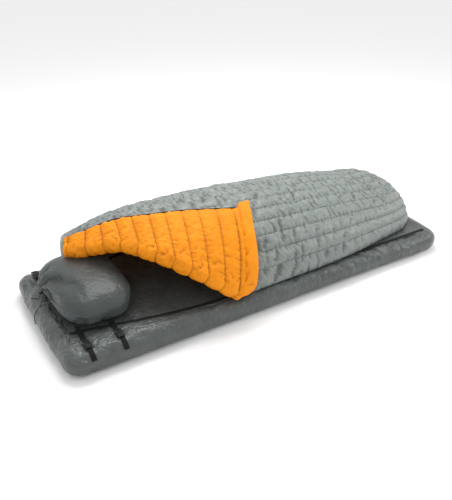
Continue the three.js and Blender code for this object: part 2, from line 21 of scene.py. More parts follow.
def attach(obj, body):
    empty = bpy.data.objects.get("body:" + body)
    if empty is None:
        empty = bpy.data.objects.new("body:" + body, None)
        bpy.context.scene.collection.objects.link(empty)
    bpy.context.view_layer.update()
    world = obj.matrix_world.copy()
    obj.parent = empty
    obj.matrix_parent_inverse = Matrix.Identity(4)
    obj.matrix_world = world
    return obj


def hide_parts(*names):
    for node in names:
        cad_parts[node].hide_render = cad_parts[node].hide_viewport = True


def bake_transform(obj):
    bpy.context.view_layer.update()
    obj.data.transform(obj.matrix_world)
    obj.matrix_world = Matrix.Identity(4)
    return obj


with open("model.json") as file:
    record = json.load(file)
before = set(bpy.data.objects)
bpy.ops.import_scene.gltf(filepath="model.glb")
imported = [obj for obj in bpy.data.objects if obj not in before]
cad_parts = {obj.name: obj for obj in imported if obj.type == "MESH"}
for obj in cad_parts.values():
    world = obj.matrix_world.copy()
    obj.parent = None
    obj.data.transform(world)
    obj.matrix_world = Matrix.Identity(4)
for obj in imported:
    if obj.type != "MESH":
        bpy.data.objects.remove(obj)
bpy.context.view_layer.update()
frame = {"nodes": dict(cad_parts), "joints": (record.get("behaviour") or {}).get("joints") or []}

# %% [markdown]
# ## The camera
#
# The bed is seen from its near side and a little above, from the head end. A camera looks along
# its own -Z axis, so `to_track_quat` turns it towards a target. A longish lens at three metres
# keeps the far corners from spreading.

# %% Camera
scene = bpy.context.scene
scene.view_settings.view_transform = "Standard"
eye = Vector((-1.391, -2.168, 1.641))
target = Vector((-0.052, 0.044, 0.100))

camera_data = bpy.data.cameras.new("camera")
camera_data.sensor_width = 36.0
camera_data.lens = 45.6
camera = bpy.data.objects.new("camera", camera_data)
camera.location = eye
camera.rotation_euler = (target - eye).to_track_quat("-Z", "Y").to_euler()
scene.collection.objects.link(camera)
scene.camera = camera
print("camera stands", round((target - eye).length, 2), "m away")

# %% [markdown]
# ## Small helpers
#
# Most pieces here start as a grid of points worked out with numpy and then become a mesh.
# `piece_from` makes the object, `grid_faces` lists the quads of a grid, and `settle` applies the
# modifiers through the evaluated object, so that the result is a plain mesh at the origin.
# One more helper compares each point with its neighbours and stores how deep it lies, and the
# finishes darken the colour there: painted shade in the hollows of the cloth.

# %% Helpers for meshes
def piece_from(name, points, faces, materials, material_rows=None, smooth_shade=True):
    """A mesh object at the origin. material_rows gives each face the number of its material."""
    mesh = bpy.data.meshes.new(name)
    mesh.from_pydata([tuple(p) for p in points], [], [tuple(f) for f in faces])
    for material in materials:
        mesh.materials.append(material)
    if material_rows is not None:
        mesh.polygons.foreach_set("material_index", list(material_rows))
    mesh.polygons.foreach_set("use_smooth", [smooth_shade] * len(mesh.polygons))
    mesh.update()
    piece = bpy.data.objects.new(name, mesh)
    scene.collection.objects.link(piece)
    return piece


def grid_faces(columns, rows, start=0, around=False, flip=False):
    """Quads of a grid whose points run row by row within each column."""
    faces = []
    last = columns if around else columns - 1
    for i in range(last):
        for j in range(rows - 1):
            a = start + i * rows + j
            b = start + ((i + 1) % columns) * rows + j
            quad = (a, b, b + 1, a + 1)
            faces.append(quad[::-1] if flip else quad)
    return faces


def points_of(piece):
    flat = np.empty(len(piece.data.vertices) * 3)
    piece.data.vertices.foreach_get("co", flat)
    return flat.reshape(-1, 3)


def move_points(piece, points):
    piece.data.vertices.foreach_set("co", np.asarray(points, float).ravel())
    piece.data.update()


def settle(piece):
    """Applies every modifier on the piece."""
    graph = bpy.context.evaluated_depsgraph_get()
    mesh = bpy.data.meshes.new_from_object(piece.evaluated_get(graph))
    piece.modifiers.clear()
    old = piece.data
    piece.data = mesh
    bpy.data.meshes.remove(old)


def turn_out(piece):
    """Turns the faces of a closed piece outwards."""
    work = bmesh.new()
    work.from_mesh(piece.data)
    bmesh.ops.recalc_face_normals(work, faces=work.faces)
    work.to_mesh(piece.data)
    work.free()


def face_out(piece, way):
    """Turns the faces of an open sheet so that they look along way on average."""
    if sum(f.normal.dot(Vector(way)) * f.area for f in piece.data.polygons) < 0:
        piece.data.flip_normals()


def paint_hollow_shade(piece, gain=1.0, passes=2):
    """Stores how hollow each point is, 0 to 1, for the finishes to darken with painted shade."""
    points = points_of(piece)
    pairs = np.array([e.vertices[:] for e in piece.data.edges])
    a, b = pairs[:, 0], pairs[:, 1]
    count = np.bincount(np.r_[a, b], minlength=len(points))[:, None]
    total = np.zeros_like(points)
    np.add.at(total, a, points[b])
    np.add.at(total, b, points[a])
    size = np.linalg.norm(points[a] - points[b], axis=1).mean()
    normals = np.array([v.normal for v in piece.data.vertices])
    dent = ((total / np.maximum(count, 1) - points) * normals).sum(1) / size
    for _ in range(passes):
        spread = np.zeros(len(points))
        np.add.at(spread, a, dent[b])
        np.add.at(spread, b, dent[a])
        dent = 0.5 * dent + 0.5 * spread / np.maximum(count[:, 0], 1)
    shade = np.clip(dent * 9.0 * gain, 0, 1)
    layer = piece.data.attributes.new("hollow", "FLOAT", "POINT")
    layer.data.foreach_set("value", shade)


def refine(piece, levels=1):
    """One more level of smooth subdivision, applied."""
    step = piece.modifiers.new("subdivide", "SUBSURF")
    step.levels = levels
    step.render_levels = levels
    settle(piece)


def wear(piece, body, slot, *nodes):
    """The piece rides on a body and stands for some CAD nodes. The slot argument is not used."""
    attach(piece, body)
    if nodes:
        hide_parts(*nodes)


def grain(points, size, seed=0):
    """Smooth noise from -1 to 1 at each point, with bumps of about this size in metres."""
    shift = Vector((3.7 * seed, 1.3 * seed, 5.1 * seed))
    return np.array([noise.noise(Vector(p) / size + shift) for p in points])


def mix(a, b, t):
    return a + (b - a) * t


def smooth(value, low, high):
    t = np.clip((value - low) / (high - low), 0, 1)
    return t * t * (3 - 2 * t)


# %% [markdown]
# ## The drawcord's tails
#
# The mouth of the stuff sack is closed by a thin cord through a cord lock. Its two tails fall from
# the lock to the sheet and each ends in a knot. The routes are the CAD's own points. A smooth
# curve through them is sampled and becomes a Blender curve with a round bevel, which is the plain
# way to draw a cord.

# %% Drawcord routes
cord_diameter = 0.0026
short_route = [
    (-0.9270, 0.0717, 0.1493), (-0.9280, 0.0770, 0.1435), (-0.9300, 0.0850, 0.1310),
    (-0.9330, 0.0940, 0.1160), (-0.9370, 0.1040, 0.1050), (-0.9430, 0.1150, 0.1016),
    (-0.9507, 0.1250, 0.0975), (-0.9551, 0.1320, 0.0953),
]
long_route = [
    (-0.9270, 0.0623, 0.1493), (-0.9290, 0.0570, 0.1430), (-0.9330, 0.0520, 0.1290),
    (-0.9370, 0.0510, 0.1150), (-0.9420, 0.0525, 0.1040), (-0.9490, 0.0530, 0.0982),
    (-0.9571, 0.0500, 0.0942), (-0.9653, 0.0460, 0.0879), (-0.9722, 0.0420, 0.0801),
    (-0.9775, 0.0390, 0.0707), (-0.9809, 0.0365, 0.0599), (-0.9818, 0.0350, 0.0491),
    (-0.9809, 0.0340, 0.0401),
]


def smooth_route(route, count):
    """Evenly spaced points on a Catmull-Rom curve through the route."""
    p = np.array(route)
    p = np.vstack([2 * p[0] - p[1], p, 2 * p[-1] - p[-2]])
    fine = []
    for i in range(1, len(p) - 2):
        for t in np.linspace(0, 1, 20, endpoint=False):
            a = 2 * p[i]
            b = (p[i + 1] - p[i - 1]) * t
            c = (2 * p[i - 1] - 5 * p[i] + 4 * p[i + 1] - p[i + 2]) * t * t
            d = (3 * p[i] - p[i - 1] - 3 * p[i + 1] + p[i + 2]) * t ** 3
            fine.append((a + b + c + d) / 2)
    fine.append(p[-2])
    fine = np.array(fine)
    run = np.r_[0, np.cumsum(np.linalg.norm(np.diff(fine, axis=0), axis=1))]
    even = np.linspace(0, run[-1], count)
    return np.stack([np.interp(even, run, fine[:, k]) for k in range(3)], 1), run[-1]


# %% [markdown]
# ## Fabric finishes
#
# Every soft piece here is light nylon taffeta: a close plain weave with a silky sheen that shows
# each small crease as a bright or dark streak. One helper builds that material. Its colour drifts
# a little between two tones, and its bump joins three scales: the weave, soft crinkles from noise,
# and fine sharp creases from ridged noise. It reads Object coordinates, so nothing needs UVs, and
# it paints shade into the colour, darkening it where the piece's own `hollow` attribute says that
# the cloth dips.

# %% A fabric material
def new_material(name):
    material = bpy.data.materials.new(name)
    material.use_nodes = True
    tree = material.node_tree
    shader = tree.nodes["Principled BSDF"]
    return material, tree, shader


def node(tree, kind, **inputs):
    made = tree.nodes.new(kind)
    for key, value in inputs.items():
        made.inputs[key.replace("_", " ")].default_value = value
    return made


def noise_on(tree, coords, size, detail=3.0, kind="FBM", distortion=0.0):
    texture = node(tree, "ShaderNodeTexNoise", Scale=1.0 / size, Detail=detail, Distortion=distortion)
    texture.noise_type = kind
    tree.links.new(coords, texture.inputs["Vector"])
    return texture.outputs["Fac"]


def scaled(tree, value, factor):
    times = tree.nodes.new("ShaderNodeMath")
    times.operation = "MULTIPLY"
    times.inputs[1].default_value = factor
    tree.links.new(value, times.inputs[0])
    return times.outputs["Value"]


def added(tree, a, b):
    plus = tree.nodes.new("ShaderNodeMath")
    plus.operation = "ADD"
    tree.links.new(a, plus.inputs[0])
    tree.links.new(b, plus.inputs[1])
    return plus.outputs["Value"]


def weave_on(tree, coords, pitch):
    """Threads as bands along all three axes, so that every side of a piece shows some."""
    total = None
    for axis in ("X", "Y", "Z"):
        bands = node(tree, "ShaderNodeTexWave", Scale=0.314 / pitch)
        bands.bands_direction = axis
        tree.links.new(coords, bands.inputs["Vector"])
        total = bands.outputs["Fac"] if total is None else added(tree, total, bands.outputs["Fac"])
    return total


def shadowed(tree, shader, colour, depth=0.62):
    """Painted shade: darkens the colour where the piece's own hollow attribute is high. Without it, no
    change.
    """
    hollow = tree.nodes.new("ShaderNodeAttribute")
    hollow.attribute_name = "hollow"
    amount = scaled(tree, hollow.outputs["Fac"], depth)
    darker = tree.nodes.new("ShaderNodeMix")
    darker.data_type = "RGBA"
    darker.blend_type = "MULTIPLY"
    sockets = [s for s in darker.inputs if s.type == "RGBA"]
    # The painted shade's tint: the colour in the hollows is multiplied towards this dark brown.
    sockets[1].default_value = (0.05, 0.035, 0.03, 1)
    tree.links.new(amount, darker.inputs["Factor"])
    tree.links.new(colour, sockets[0])
    out = next(s for s in darker.outputs if s.type == "RGBA")
    tree.links.new(out, shader.inputs["Base Color"])


def two_tone(tree, shader, fac, dark, light, low=0.35, high=0.65):
    ramp = tree.nodes.new("ShaderNodeValToRGB")
    ramp.color_ramp.elements[0].position = low
    ramp.color_ramp.elements[0].color = (*dark, 1)
    ramp.color_ramp.elements[1].position = high
    ramp.color_ramp.elements[1].color = (*light, 1)
    tree.links.new(fac, ramp.inputs["Fac"])
    tree.links.new(ramp.outputs["Color"], shader.inputs["Base Color"])
    return ramp.outputs["Color"]


def bump_from(tree, shader, height, distance):
    bump = node(tree, "ShaderNodeBump", Strength=1.0, Distance=distance)
    tree.links.new(height, bump.inputs["Height"])
    tree.links.new(bump.outputs["Normal"], shader.inputs["Normal"])


def nylon(name, dark, light, roughness=0.45, sheen=0.15, crinkle=1.0, crease=1.0, crease_size=0.03,
          gloss=0.35):
    """Taffeta. crinkle and crease scale the soft and the sharp part of its bump."""
    material, tree, shader = new_material(name)
    shader.inputs["Roughness"].default_value = roughness
    shader.inputs["Sheen Weight"].default_value = sheen
    shader.inputs["Sheen Roughness"].default_value = 0.4
    shader.inputs["Specular IOR Level"].default_value = gloss
    coords = tree.nodes.new("ShaderNodeTexCoord").outputs["Object"]
    drift = noise_on(tree, coords, 0.09, 4.0)
    shadowed(tree, shader, two_tone(tree, shader, drift, dark, light))
    soft = scaled(tree, noise_on(tree, coords, 0.022, 2.0, distortion=0.8), 0.0042 * crinkle)
    sharp = scaled(
        tree, noise_on(tree, coords, crease_size, 2.0, "RIDGED_MULTIFRACTAL", 0.5), 0.0012 * crease)
    threads = scaled(tree, weave_on(tree, coords, 0.0009), 0.00002)
    bump_from(tree, shader, added(tree, added(tree, soft, sharp), threads), 1.0)
    return material


shell_grey = nylon("shell_nylon", (0.184, 0.208, 0.194), (0.214, 0.241, 0.226), sheen=0.05,
                   roughness=0.38, gloss=0.5, crinkle=1.0, crease=1.5)
lining_orange = nylon("lining_nylon", (0.80, 0.250, 0.006), (0.88, 0.290, 0.009), roughness=0.6, sheen=0.0,
                      gloss=0.15)
sheet_grey = nylon("sheet_nylon", (0.058, 0.067, 0.064), (0.076, 0.088, 0.084), crease=1.5, crinkle=1.3,
                   sheen=0.05, roughness=0.34, gloss=0.5)
sack_grey = nylon("sack_nylon", (0.046, 0.055, 0.054), (0.058, 0.069, 0.068), roughness=0.36, sheen=0.05,
                  crinkle=0.6, crease=0.8, gloss=0.35)
mattress_blue = nylon("mattress_nylon", (0.055, 0.085, 0.115), (0.070, 0.105, 0.140), roughness=0.6)
print("fabrics:", [m.name for m in bpy.data.materials if m.name.endswith("nylon")])

# %% [markdown]
# ## Tape, webbing, cord and plastic
#
# The narrow pieces are nearly black. Binding tape has a fine rib across it, webbing a coarser
# one, and the cord a braid. All three are the same rib pattern at another size. The buckles are
# moulded acetal: dark, satin, with a fine mould grain and slightly rubbed edges.

# %% Materials for the narrow pieces
def ribbed(name, dark, light, pitch, roughness):
    material, tree, shader = new_material(name)
    shader.inputs["Roughness"].default_value = roughness
    shader.inputs["Specular IOR Level"].default_value = 0.2
    coords = tree.nodes.new("ShaderNodeTexCoord").outputs["Object"]
    threads = weave_on(tree, coords, pitch)
    two_tone(tree, shader, scaled(tree, threads, 0.33), dark, light, 0.2, 0.8)
    bump_from(tree, shader, scaled(tree, threads, 0.08 * pitch), 1.0)
    return material


tape_black = ribbed("binding_tape", (0.007, 0.007, 0.007), (0.018, 0.019, 0.018), 0.0012, 0.8)
web_black = ribbed("webbing", (0.003, 0.003, 0.003), (0.011, 0.011, 0.011), 0.0016, 0.75)
cord_black = ribbed("drawcord", (0.008, 0.008, 0.008), (0.030, 0.030, 0.030), 0.0010, 0.8)
grey_thread = ribbed("grey_thread", (0.150, 0.168, 0.158), (0.220, 0.240, 0.228), 0.0004, 0.6)
orange_thread = ribbed("orange_thread", (0.48, 0.10, 0.006), (0.62, 0.14, 0.010), 0.0004, 0.6)


def moulded(name, dark, light):
    material, tree, shader = new_material(name)
    shader.inputs["Roughness"].default_value = 0.42
    shader.inputs["Specular IOR Level"].default_value = 0.3
    coords = tree.nodes.new("ShaderNodeTexCoord").outputs["Object"]
    rub = noise_on(tree, coords, 0.006, 4.0)
    two_tone(tree, shader, rub, dark, light)
    bump_from(tree, shader, scaled(tree, noise_on(tree, coords, 0.0007), 0.00004), 1.0)
    return material


buckle_black = moulded("buckle_plastic", (0.005, 0.005, 0.005), (0.010, 0.010, 0.0105))
print("narrow finishes ready")

# %% [markdown]
# ## Making the tails
#
# Each tail is one open spline whose bevel is half the cord's diameter. The knot is a short tube
# wound round itself, a small trefoil, just past the end of the tail.

# %% Tails and knots
def tube_points(path, radius, sides=10):
    """Rings of points round a path, turned as little as possible from one to the next."""
    path = np.asarray(path, float)
    along = np.gradient(path, axis=0)
    along /= np.linalg.norm(along, axis=1, keepdims=True)
    side = np.cross(along[0], (0.3, 0.2, 1.0))
    rings = []
    for point, way in zip(path, along):
        side = side - way * side.dot(way)
        side /= np.linalg.norm(side)
        other = np.cross(way, side)
        turn = np.linspace(0, 2 * math.pi, sides, endpoint=False)
        rings.append(point + radius * (np.outer(np.cos(turn), side) + np.outer(np.sin(turn), other)))
    return np.array(rings)


def tube_faces(count, sides, start=0):
    faces = []
    for i in range(count - 1):
        for k in range(sides):
            n = (k + 1) % sides
            a = start + i * sides
            faces.append((a + k, a + n, a + sides + n, a + sides + k))
    faces.append(tuple(range(start + sides - 1, start - 1, -1)))
    faces.append(tuple(range(start + (count - 1) * sides, start + count * sides)))
    return faces


def trefoil(centre, forward, size, radius):
    """A small knot: a trefoil whose flat face lies across the cord."""
    forward = Vector(forward).normalized()
    turn = forward.to_track_quat("Z", "Y").to_matrix()
    points = []
    for t in np.linspace(0, 2 * math.pi, 37):
        x = (math.sin(t) + 2 * math.sin(2 * t)) / 3
        y = (math.cos(t) - 2 * math.cos(2 * t)) / 3
        z = -math.sin(3 * t) * 0.5
        points.append(Vector(centre) + turn @ Vector((x, y, z)) * size)
    return tube_points([tuple(p) for p in points], radius, 8), len(points)


def make_tail(name, route, count):
    points, length = smooth_route(route, count)
    curve = bpy.data.curves.new(f"tail_{name}", "CURVE")
    curve.dimensions = "3D"
    curve.bevel_depth = cord_diameter / 2
    curve.bevel_resolution = 3
    curve.use_fill_caps = True
    spline = curve.splines.new("POLY")
    spline.points.add(count - 1)
    spline.points.foreach_set("co", np.c_[points, np.ones(count)].ravel())
    curve.materials.append(cord_black)
    tail = bpy.data.objects.new(f"tail_{name}", curve)
    scene.collection.objects.link(tail)

    forward = points[-1] - points[-2]
    forward /= np.linalg.norm(forward)
    centre = points[-1] + forward * (cord_diameter + 0.0001)
    rings, turns = trefoil(centre, forward, 0.0019, 0.0011)
    knot = piece_from(f"knot_{name}", rings.reshape(-1, 3), tube_faces(turns, 8), [cord_black])
    turn_out(knot)
    wear(tail, "bed", "webbing", f"drawcord_tail_{name}")
    wear(knot, "bed", "webbing", f"drawcord_knot_{name}")
    print("tail", name, "is", round(length * 1000), "mm long")


make_tail("short", short_route, 20)
make_tail("long", long_route, 30)


# %% [markdown]
# ## Floor and light
#
# The set stands on a plain pale floor. The light is a studio's: a white surround for the fill, one
# very large soft light overhead, and a second from the foot end that lets the folds show. Big
# lights are what makes nylon look silky, because its sheen needs something wide to reflect.

# %% Floor, surround and lights
floor_material, _, floor_shader = new_material("studio_floor")
floor_shader.inputs["Base Color"].default_value = (0.96, 0.96, 0.96, 1)
floor_shader.inputs["Roughness"].default_value = 0.9
floor_shader.inputs["Specular IOR Level"].default_value = 0.1
corner = 9.0
floor = piece_from(
    "floor", [(-corner, -corner, 0), (corner, -corner, 0), (corner, corner, 0), (-corner, corner, 0)],
    [(0, 1, 2, 3)], [floor_material], smooth_shade=False)

world = bpy.data.worlds.new("surround")
world.use_nodes = True
world.node_tree.nodes["Background"].inputs["Color"].default_value = (1.0, 1.0, 1.0, 1)
world.node_tree.nodes["Background"].inputs["Strength"].default_value = 0.90
scene.world = world


def soft_light(name, place, towards, size, power):
    data = bpy.data.lights.new(name, "AREA")
    data.shape = "RECTANGLE"
    data.size = size[0]
    data.size_y = size[1]
    data.energy = power
    lamp = bpy.data.objects.new(name, data)
    lamp.location = place
    lamp.rotation_euler = (Vector(towards) - Vector(place)).to_track_quat("-Z", "Y").to_euler()
    scene.collection.objects.link(lamp)
    return lamp


soft_light("overhead", (0.3, 0.9, 2.6), (0.0, 0.0, 0.1), (2.0, 1.2), 50)
soft_light("from_foot", (2.6, -1.2, 1.5), (0.3, 0.0, 0.1), (1.6, 1.2), 20)

# %% [markdown]
# ## The quilt's surface
#
# The quilt arches over the sleeper like a low tunnel that closes at the feet. Its surface is a rule,
# not a sculpted mesh: each cross-section is two quarter ellipses that meet at the crest line, and
# both shrink towards the foot end. A place on it is an x along the bed and a section angle, 0 at
# the near edge, 90 at the crest and 180 at the far edge, where the fabric then hangs down.
# The lists below are the CAD's own sizes, so both models share one surface.

# %% The surface rule
def through(xs, ys):
    """A smooth curve through the rows of a short table, flat beyond its ends."""
    xs = np.array(xs, float)
    ys = np.array(ys, float)
    n = np.arange(len(xs))
    low = np.maximum(n - 1, 0)
    high = np.minimum(n + 1, len(xs) - 1)
    slope = (ys[high] - ys[low]) / (xs[high] - xs[low])

    def at(x):
        x = np.clip(x, xs[0], xs[-1])
        i = np.clip(np.searchsorted(xs, x, side="right") - 1, 0, len(xs) - 2)
        wide = xs[i + 1] - xs[i]
        u = (x - xs[i]) / wide
        rise = ys[i + 1] - ys[i]
        a = slope[i] * wide - rise
        b = rise - slope[i + 1] * wide
        return ys[i] + rise * u + u * (1 - u) * (a * (1 - u) + b * u)

    return at


crest_height = through(
    [-0.765, -0.740, -0.550, -0.350, -0.100, 0.200, 0.500, 0.720],
    [0.163, 0.176, 0.253, 0.280, 0.290, 0.269, 0.236, 0.192])
near_edge = through([-0.765, 0.0, 0.400, 0.720], [-0.328, -0.324, -0.311, -0.265])
far_edge = through([-0.765, -0.200, 0.400, 0.720], [0.417, 0.414, 0.409, 0.391])
crest_line = through([-0.765, -0.450, -0.100, 0.720], [0.220, 0.140, 0.066, 0.044])
quilt_base = 0.104
foot_end = 0.955
foot_tip = 0.974
last_angle = 190.0


def on_quilt(x, angle):
    x = np.asarray(x, float)
    angle = np.asarray(angle, float)
    closing = np.clip((x - 0.600) / (foot_tip - 0.600), 0, 1)
    wide = np.sqrt(1 - closing ** 3.7)
    high = np.sqrt(1 - closing ** 5.1)
    middle = crest_line(x)
    t = np.radians(np.minimum(angle, 180))
    reach = np.where(angle < 90, middle - near_edge(x), far_edge(x) - middle)
    drop = mix(0.058, 0.001, smooth(x, 0.300, 0.520))
    hang = drop * np.maximum(angle - 180, 0) / (last_angle - 180)
    y = middle - reach * wide * np.cos(t)
    z = quilt_base + crest_height(x) * high * np.sin(t) - hang
    return np.stack(np.broadcast_arrays(x, y, z), -1)


def quilt_normal(x, angle):
    step = 0.05
    along = on_quilt(x + step / 1000, angle) - on_quilt(x - step / 1000, angle)
    high = on_quilt(x, np.minimum(angle + step, last_angle))
    around = high - on_quilt(x, np.maximum(angle - step, 0))
    normal = np.cross(around, along)
    normal /= np.linalg.norm(normal, axis=-1, keepdims=True)
    t = np.radians(np.minimum(angle, 180))
    outward = np.stack(np.broadcast_arrays(0 * t, -np.cos(t), np.sin(t)), -1)
    side = np.where((normal * outward).sum(-1) < 0, -1.0, 1.0)
    return normal * side[..., None]


def quilt_point(x, angle, offset):
    offset = np.asarray(offset, float)
    return on_quilt(x, angle) + quilt_normal(x, angle) * offset[..., None]


# %% [markdown]
# ## Where the channels run
#
# Down is kept in place by fifteen lengthwise channels. Their seams are evenly spaced along the
# fabric, so the section angles come from walking along one cross-section and measuring.

# %% Seam angles
channel_count = 15
first_channel = 0.088
fine_angles = np.linspace(0, last_angle, 3801)
fine_section = on_quilt(np.zeros_like(fine_angles), fine_angles)
fine_run = np.r_[0, np.cumsum(np.linalg.norm(np.diff(fine_section, axis=0), axis=1))]
girth = fine_run[-1]
seam_run = np.r_[0, first_channel + (girth - first_channel) / (channel_count - 1) * np.arange(channel_count)]
seam_angles = np.interp(seam_run, fine_run, fine_angles)

fold_head = (-0.748, 89.0)
fold_foot = (-0.225, 2.0)
fold_inset = 0.030


def open_end(angle):
    """x where the channels start: along the fold, then along the head edge."""
    fold = mix(fold_foot[0], fold_head[0], (angle - fold_foot[1]) / (fold_head[1] - fold_foot[1]))
    return mix(fold + fold_inset, -0.736, smooth(angle, fold_head[1] - 5, fold_head[1] + 9))


print("girth", round(girth, 3), "m, seams at", np.round(seam_angles, 1))

# %% [markdown]
# ## Inflating fabric
#
# Down pushes light cloth out between its seams, and because the cloth is cut with a little to
# spare, it cannot lie smooth: it puckers. Blender's Cloth does just that. The seams are pinned, the
# spare fabric is a negative shrink, and pressure does the down's work. The shrink group counts
# the other way: its weight is how taut a point is, so the spare cloth is where it is lowest.
# Gravity is off, because down is far stronger than the weight of the cloth. Fourteen frames are
# enough, and the result is applied. No point may end further than `limit` from where it started,
# so a stray ripple can't run into a neighbour.

# %% Cloth under pressure
def puff(piece, sewn, spare, most_spare, pressure=4.0, frames=14, limit=0.02, bending=0.05):
    """sewn is 1 where a point is held. spare, 0 to 1, is each point's share of most_spare."""
    before = points_of(piece)
    for name, weights in (("sewn", sewn), ("taut", 1 - np.clip(spare, 0, 1))):
        group = piece.vertex_groups.new(name=name)
        steps = np.round(np.asarray(weights, float) * 40).astype(int)
        for step in np.unique(steps):
            if step > 0:
                group.add(np.nonzero(steps == step)[0].tolist(), step / 40, "REPLACE")
    cloth = piece.modifiers.new("cloth", "CLOTH")
    rules = cloth.settings
    rules.quality = 5
    rules.mass = 0.012
    rules.tension_stiffness = 20
    rules.compression_stiffness = 20
    rules.shear_stiffness = 8
    rules.bending_stiffness = bending
    rules.vertex_group_mass = "sewn"
    rules.shrink_min = -most_spare
    rules.shrink_max = 0.0
    rules.vertex_group_shrink = "taut"
    rules.use_pressure = True
    rules.uniform_pressure_force = pressure
    rules.effector_weights.gravity = 0.0
    cloth.collision_settings.use_collision = False
    cloth.point_cache.frame_start = 1
    cloth.point_cache.frame_end = frames
    for number in range(1, frames + 1):
        scene.frame_set(number)
    graph = bpy.context.evaluated_depsgraph_get()
    flat = np.empty(len(before) * 3)
    piece.evaluated_get(graph).data.vertices.foreach_get("co", flat)
    moved = flat.reshape(-1, 3) - before
    far = np.linalg.norm(moved, axis=1, keepdims=True)
    moved *= np.minimum(1, limit / np.maximum(far, 1e-9))
    piece.modifiers.clear()
    piece.vertex_groups.clear()
    scene.frame_set(1)
    move_points(piece, before + moved)
    print(piece.name, "puffed by up to", round(float(far.max()) * 1000, 1), "mm")


# %% [markdown]
# ## The quilt's body
#
# The shell is a grid: ten rows across each channel, closer near its seams, and even steps along
# it. The seam rows are sewn in by 8.5 mm and wander a little, as hand-guided seams do. The upper
# channels also have short tacks across them, staggered like bricks, which stop the down from
# sliding to the feet. The lowest channels near the feet are the fullest and smoothest, so they get
# the least spare fabric.
# The cloth starts with faint ribs that run away from each seam. They come from noise that is
# stretched across the channel, and they tell the simulation where to fold.

# %% Rows and columns of the body
rows_each = 10
columns = 210
row_share = (1 - np.cos(math.pi * np.arange(rows_each) / rows_each)) / 2
row_run = np.concatenate([
    mix(seam_run[n], seam_run[n + 1], row_share) for n in range(channel_count)
] + [[girth]])
row_angle = np.interp(row_run, fine_run, fine_angles)
row_number = np.arange(len(row_run))
across = row_share[row_number % rows_each]
on_seam = across == 0


def even_columns(angle, count):
    """x of evenly spaced points along one row, from its open end to the foot."""
    fine = np.linspace(open_end(angle), foot_end, 300)
    line = on_quilt(fine, np.full_like(fine, angle))
    run = np.r_[0, np.cumsum(np.linalg.norm(np.diff(line, axis=0), axis=1))]
    return np.interp(np.linspace(0, run[-1], count + 1), run, fine)


body_x = np.array([even_columns(angle, columns) for angle in row_angle]).T
body_angle = np.broadcast_to(row_angle, body_x.shape)
print("body grid", body_x.shape)

# %% Seams, tacks and the starting shape of the shell
groove = 0.0085
swell = np.sin(math.pi * across) ** 0.62
wander = grain(np.stack([body_x.ravel() * 1.0, body_angle.ravel() * 0.02, 0 * body_x.ravel()], 1), 0.12, 3)
wander = wander.reshape(body_x.shape)
seam_near = 2 * np.minimum(across, 1 - across)
pucker_zone = (1 - np.exp(-seam_near / 0.10)) * (1 - seam_near) ** 1.3
rib_spots = np.stack([body_x, np.broadcast_to(row_run, body_x.shape) * 0.16, 0 * body_x], -1)
ribs = grain(rib_spots.reshape(-1, 3), 0.0095, 21).reshape(body_x.shape)
broad = grain(rib_spots.reshape(-1, 3) * (0.5, 2.2, 1.0), 0.016, 22).reshape(body_x.shape)
start_offset = -groove + 0.80 * groove * swell + 0.0010 * wander
rib_height = 0.0085
broad_height = 0.0030
start_offset += rib_height * pucker_zone * ribs + broad_height * swell * broad
sewn = np.zeros(body_x.shape)
sewn[:, on_seam] = 1
sewn[0, :] = 1
sewn[-1, :] = 1
sewn[:, -1] = 1

tack_depth = 0.0078
tack_pitch = 0.17
for n in range(3, 13):
    first = n * rows_each
    for k, x in enumerate(np.arange(-0.20 + (n * 0.083) % tack_pitch, 0.84, tack_pitch)):
        lean = 0.012 * math.sin(5.1 * n + 2.3 * k)
        reach = 6 + (n + k) % 5
        for row in range(first, first + min(reach, rows_each)):
            at = x + lean * (row - first) / rows_each
            column = int(np.abs(body_x[:, row] - at).argmin())
            if body_x[0, row] + 0.02 < at < body_x[-1, row] - 0.03:
                start_offset[column, row] = -tack_depth
                sewn[column, row] = 1

full = 1 - smooth(body_x, 0.05, 0.65) * (1 - smooth(body_angle, 30, 60))
spare = np.clip(0.25 + 0.75 * full, 0, 1) * (0.75 + 0.25 * wander)
body_start = quilt_point(body_x, body_angle, start_offset)
print("tacks and seams hold", int(sewn.sum()), "points")

# %% Puff the shell
shape = body_x.shape
shell = piece_from("shell_cloth", body_start.reshape(-1, 3), grid_faces(*shape), [shell_grey])
face_out(shell, (0, -0.2, 1))
puff(shell, sewn.ravel(), spare.ravel(), 0.065, pressure=3.0, limit=0.009)
shell_points = points_of(shell).reshape(*shape, 3)
bpy.data.objects.remove(shell)
normals = quilt_normal(body_x, body_angle)
rise = ((shell_points - on_quilt(body_x, body_angle)) * normals).sum(-1) + groove
print("crowns stand", round(float(np.percentile(rise, 95)) * 1000, 1), "mm above the seams")

# %% [markdown]
# ## Closing the body
#
# The lining bulges inwards between the same seams. Its puckers are the shell's, shifted along the
# bed so that they don't mirror it. The two sheets are joined round the edges: the near edge and
# the hanging far edge turn in a soft roll, and at the foot each channel ends in its own round tip.

# %% Lining, edges and the closed body
depth = 0.0345
lining_rise = np.roll(rise, 17, axis=0)
lining_points = quilt_point(body_x, body_angle, -depth + groove - 0.8 * lining_rise)
under = lining_points[..., 2] < 0.1035
beside = body_angle > 180
lining_points[..., 2] = np.where(under & ~beside, 0.1035, lining_points[..., 2])


def tips(share):
    """The channel ends: a column beyond the foot, pushed in by share of the quilt's thickness."""
    inner = lining_points[-1]
    outer = shell_points[-1]
    out = mix(outer, inner, share)
    out[:, 0] += 0.002 + 0.009 * np.sin(math.pi * share) * (0.35 + 0.65 * swell)
    return out


def edge_roll(outer, inner, push):
    """Points between the two sheets along an edge, pushed out."""
    return mix(outer, inner, 0.5) + np.array(push)


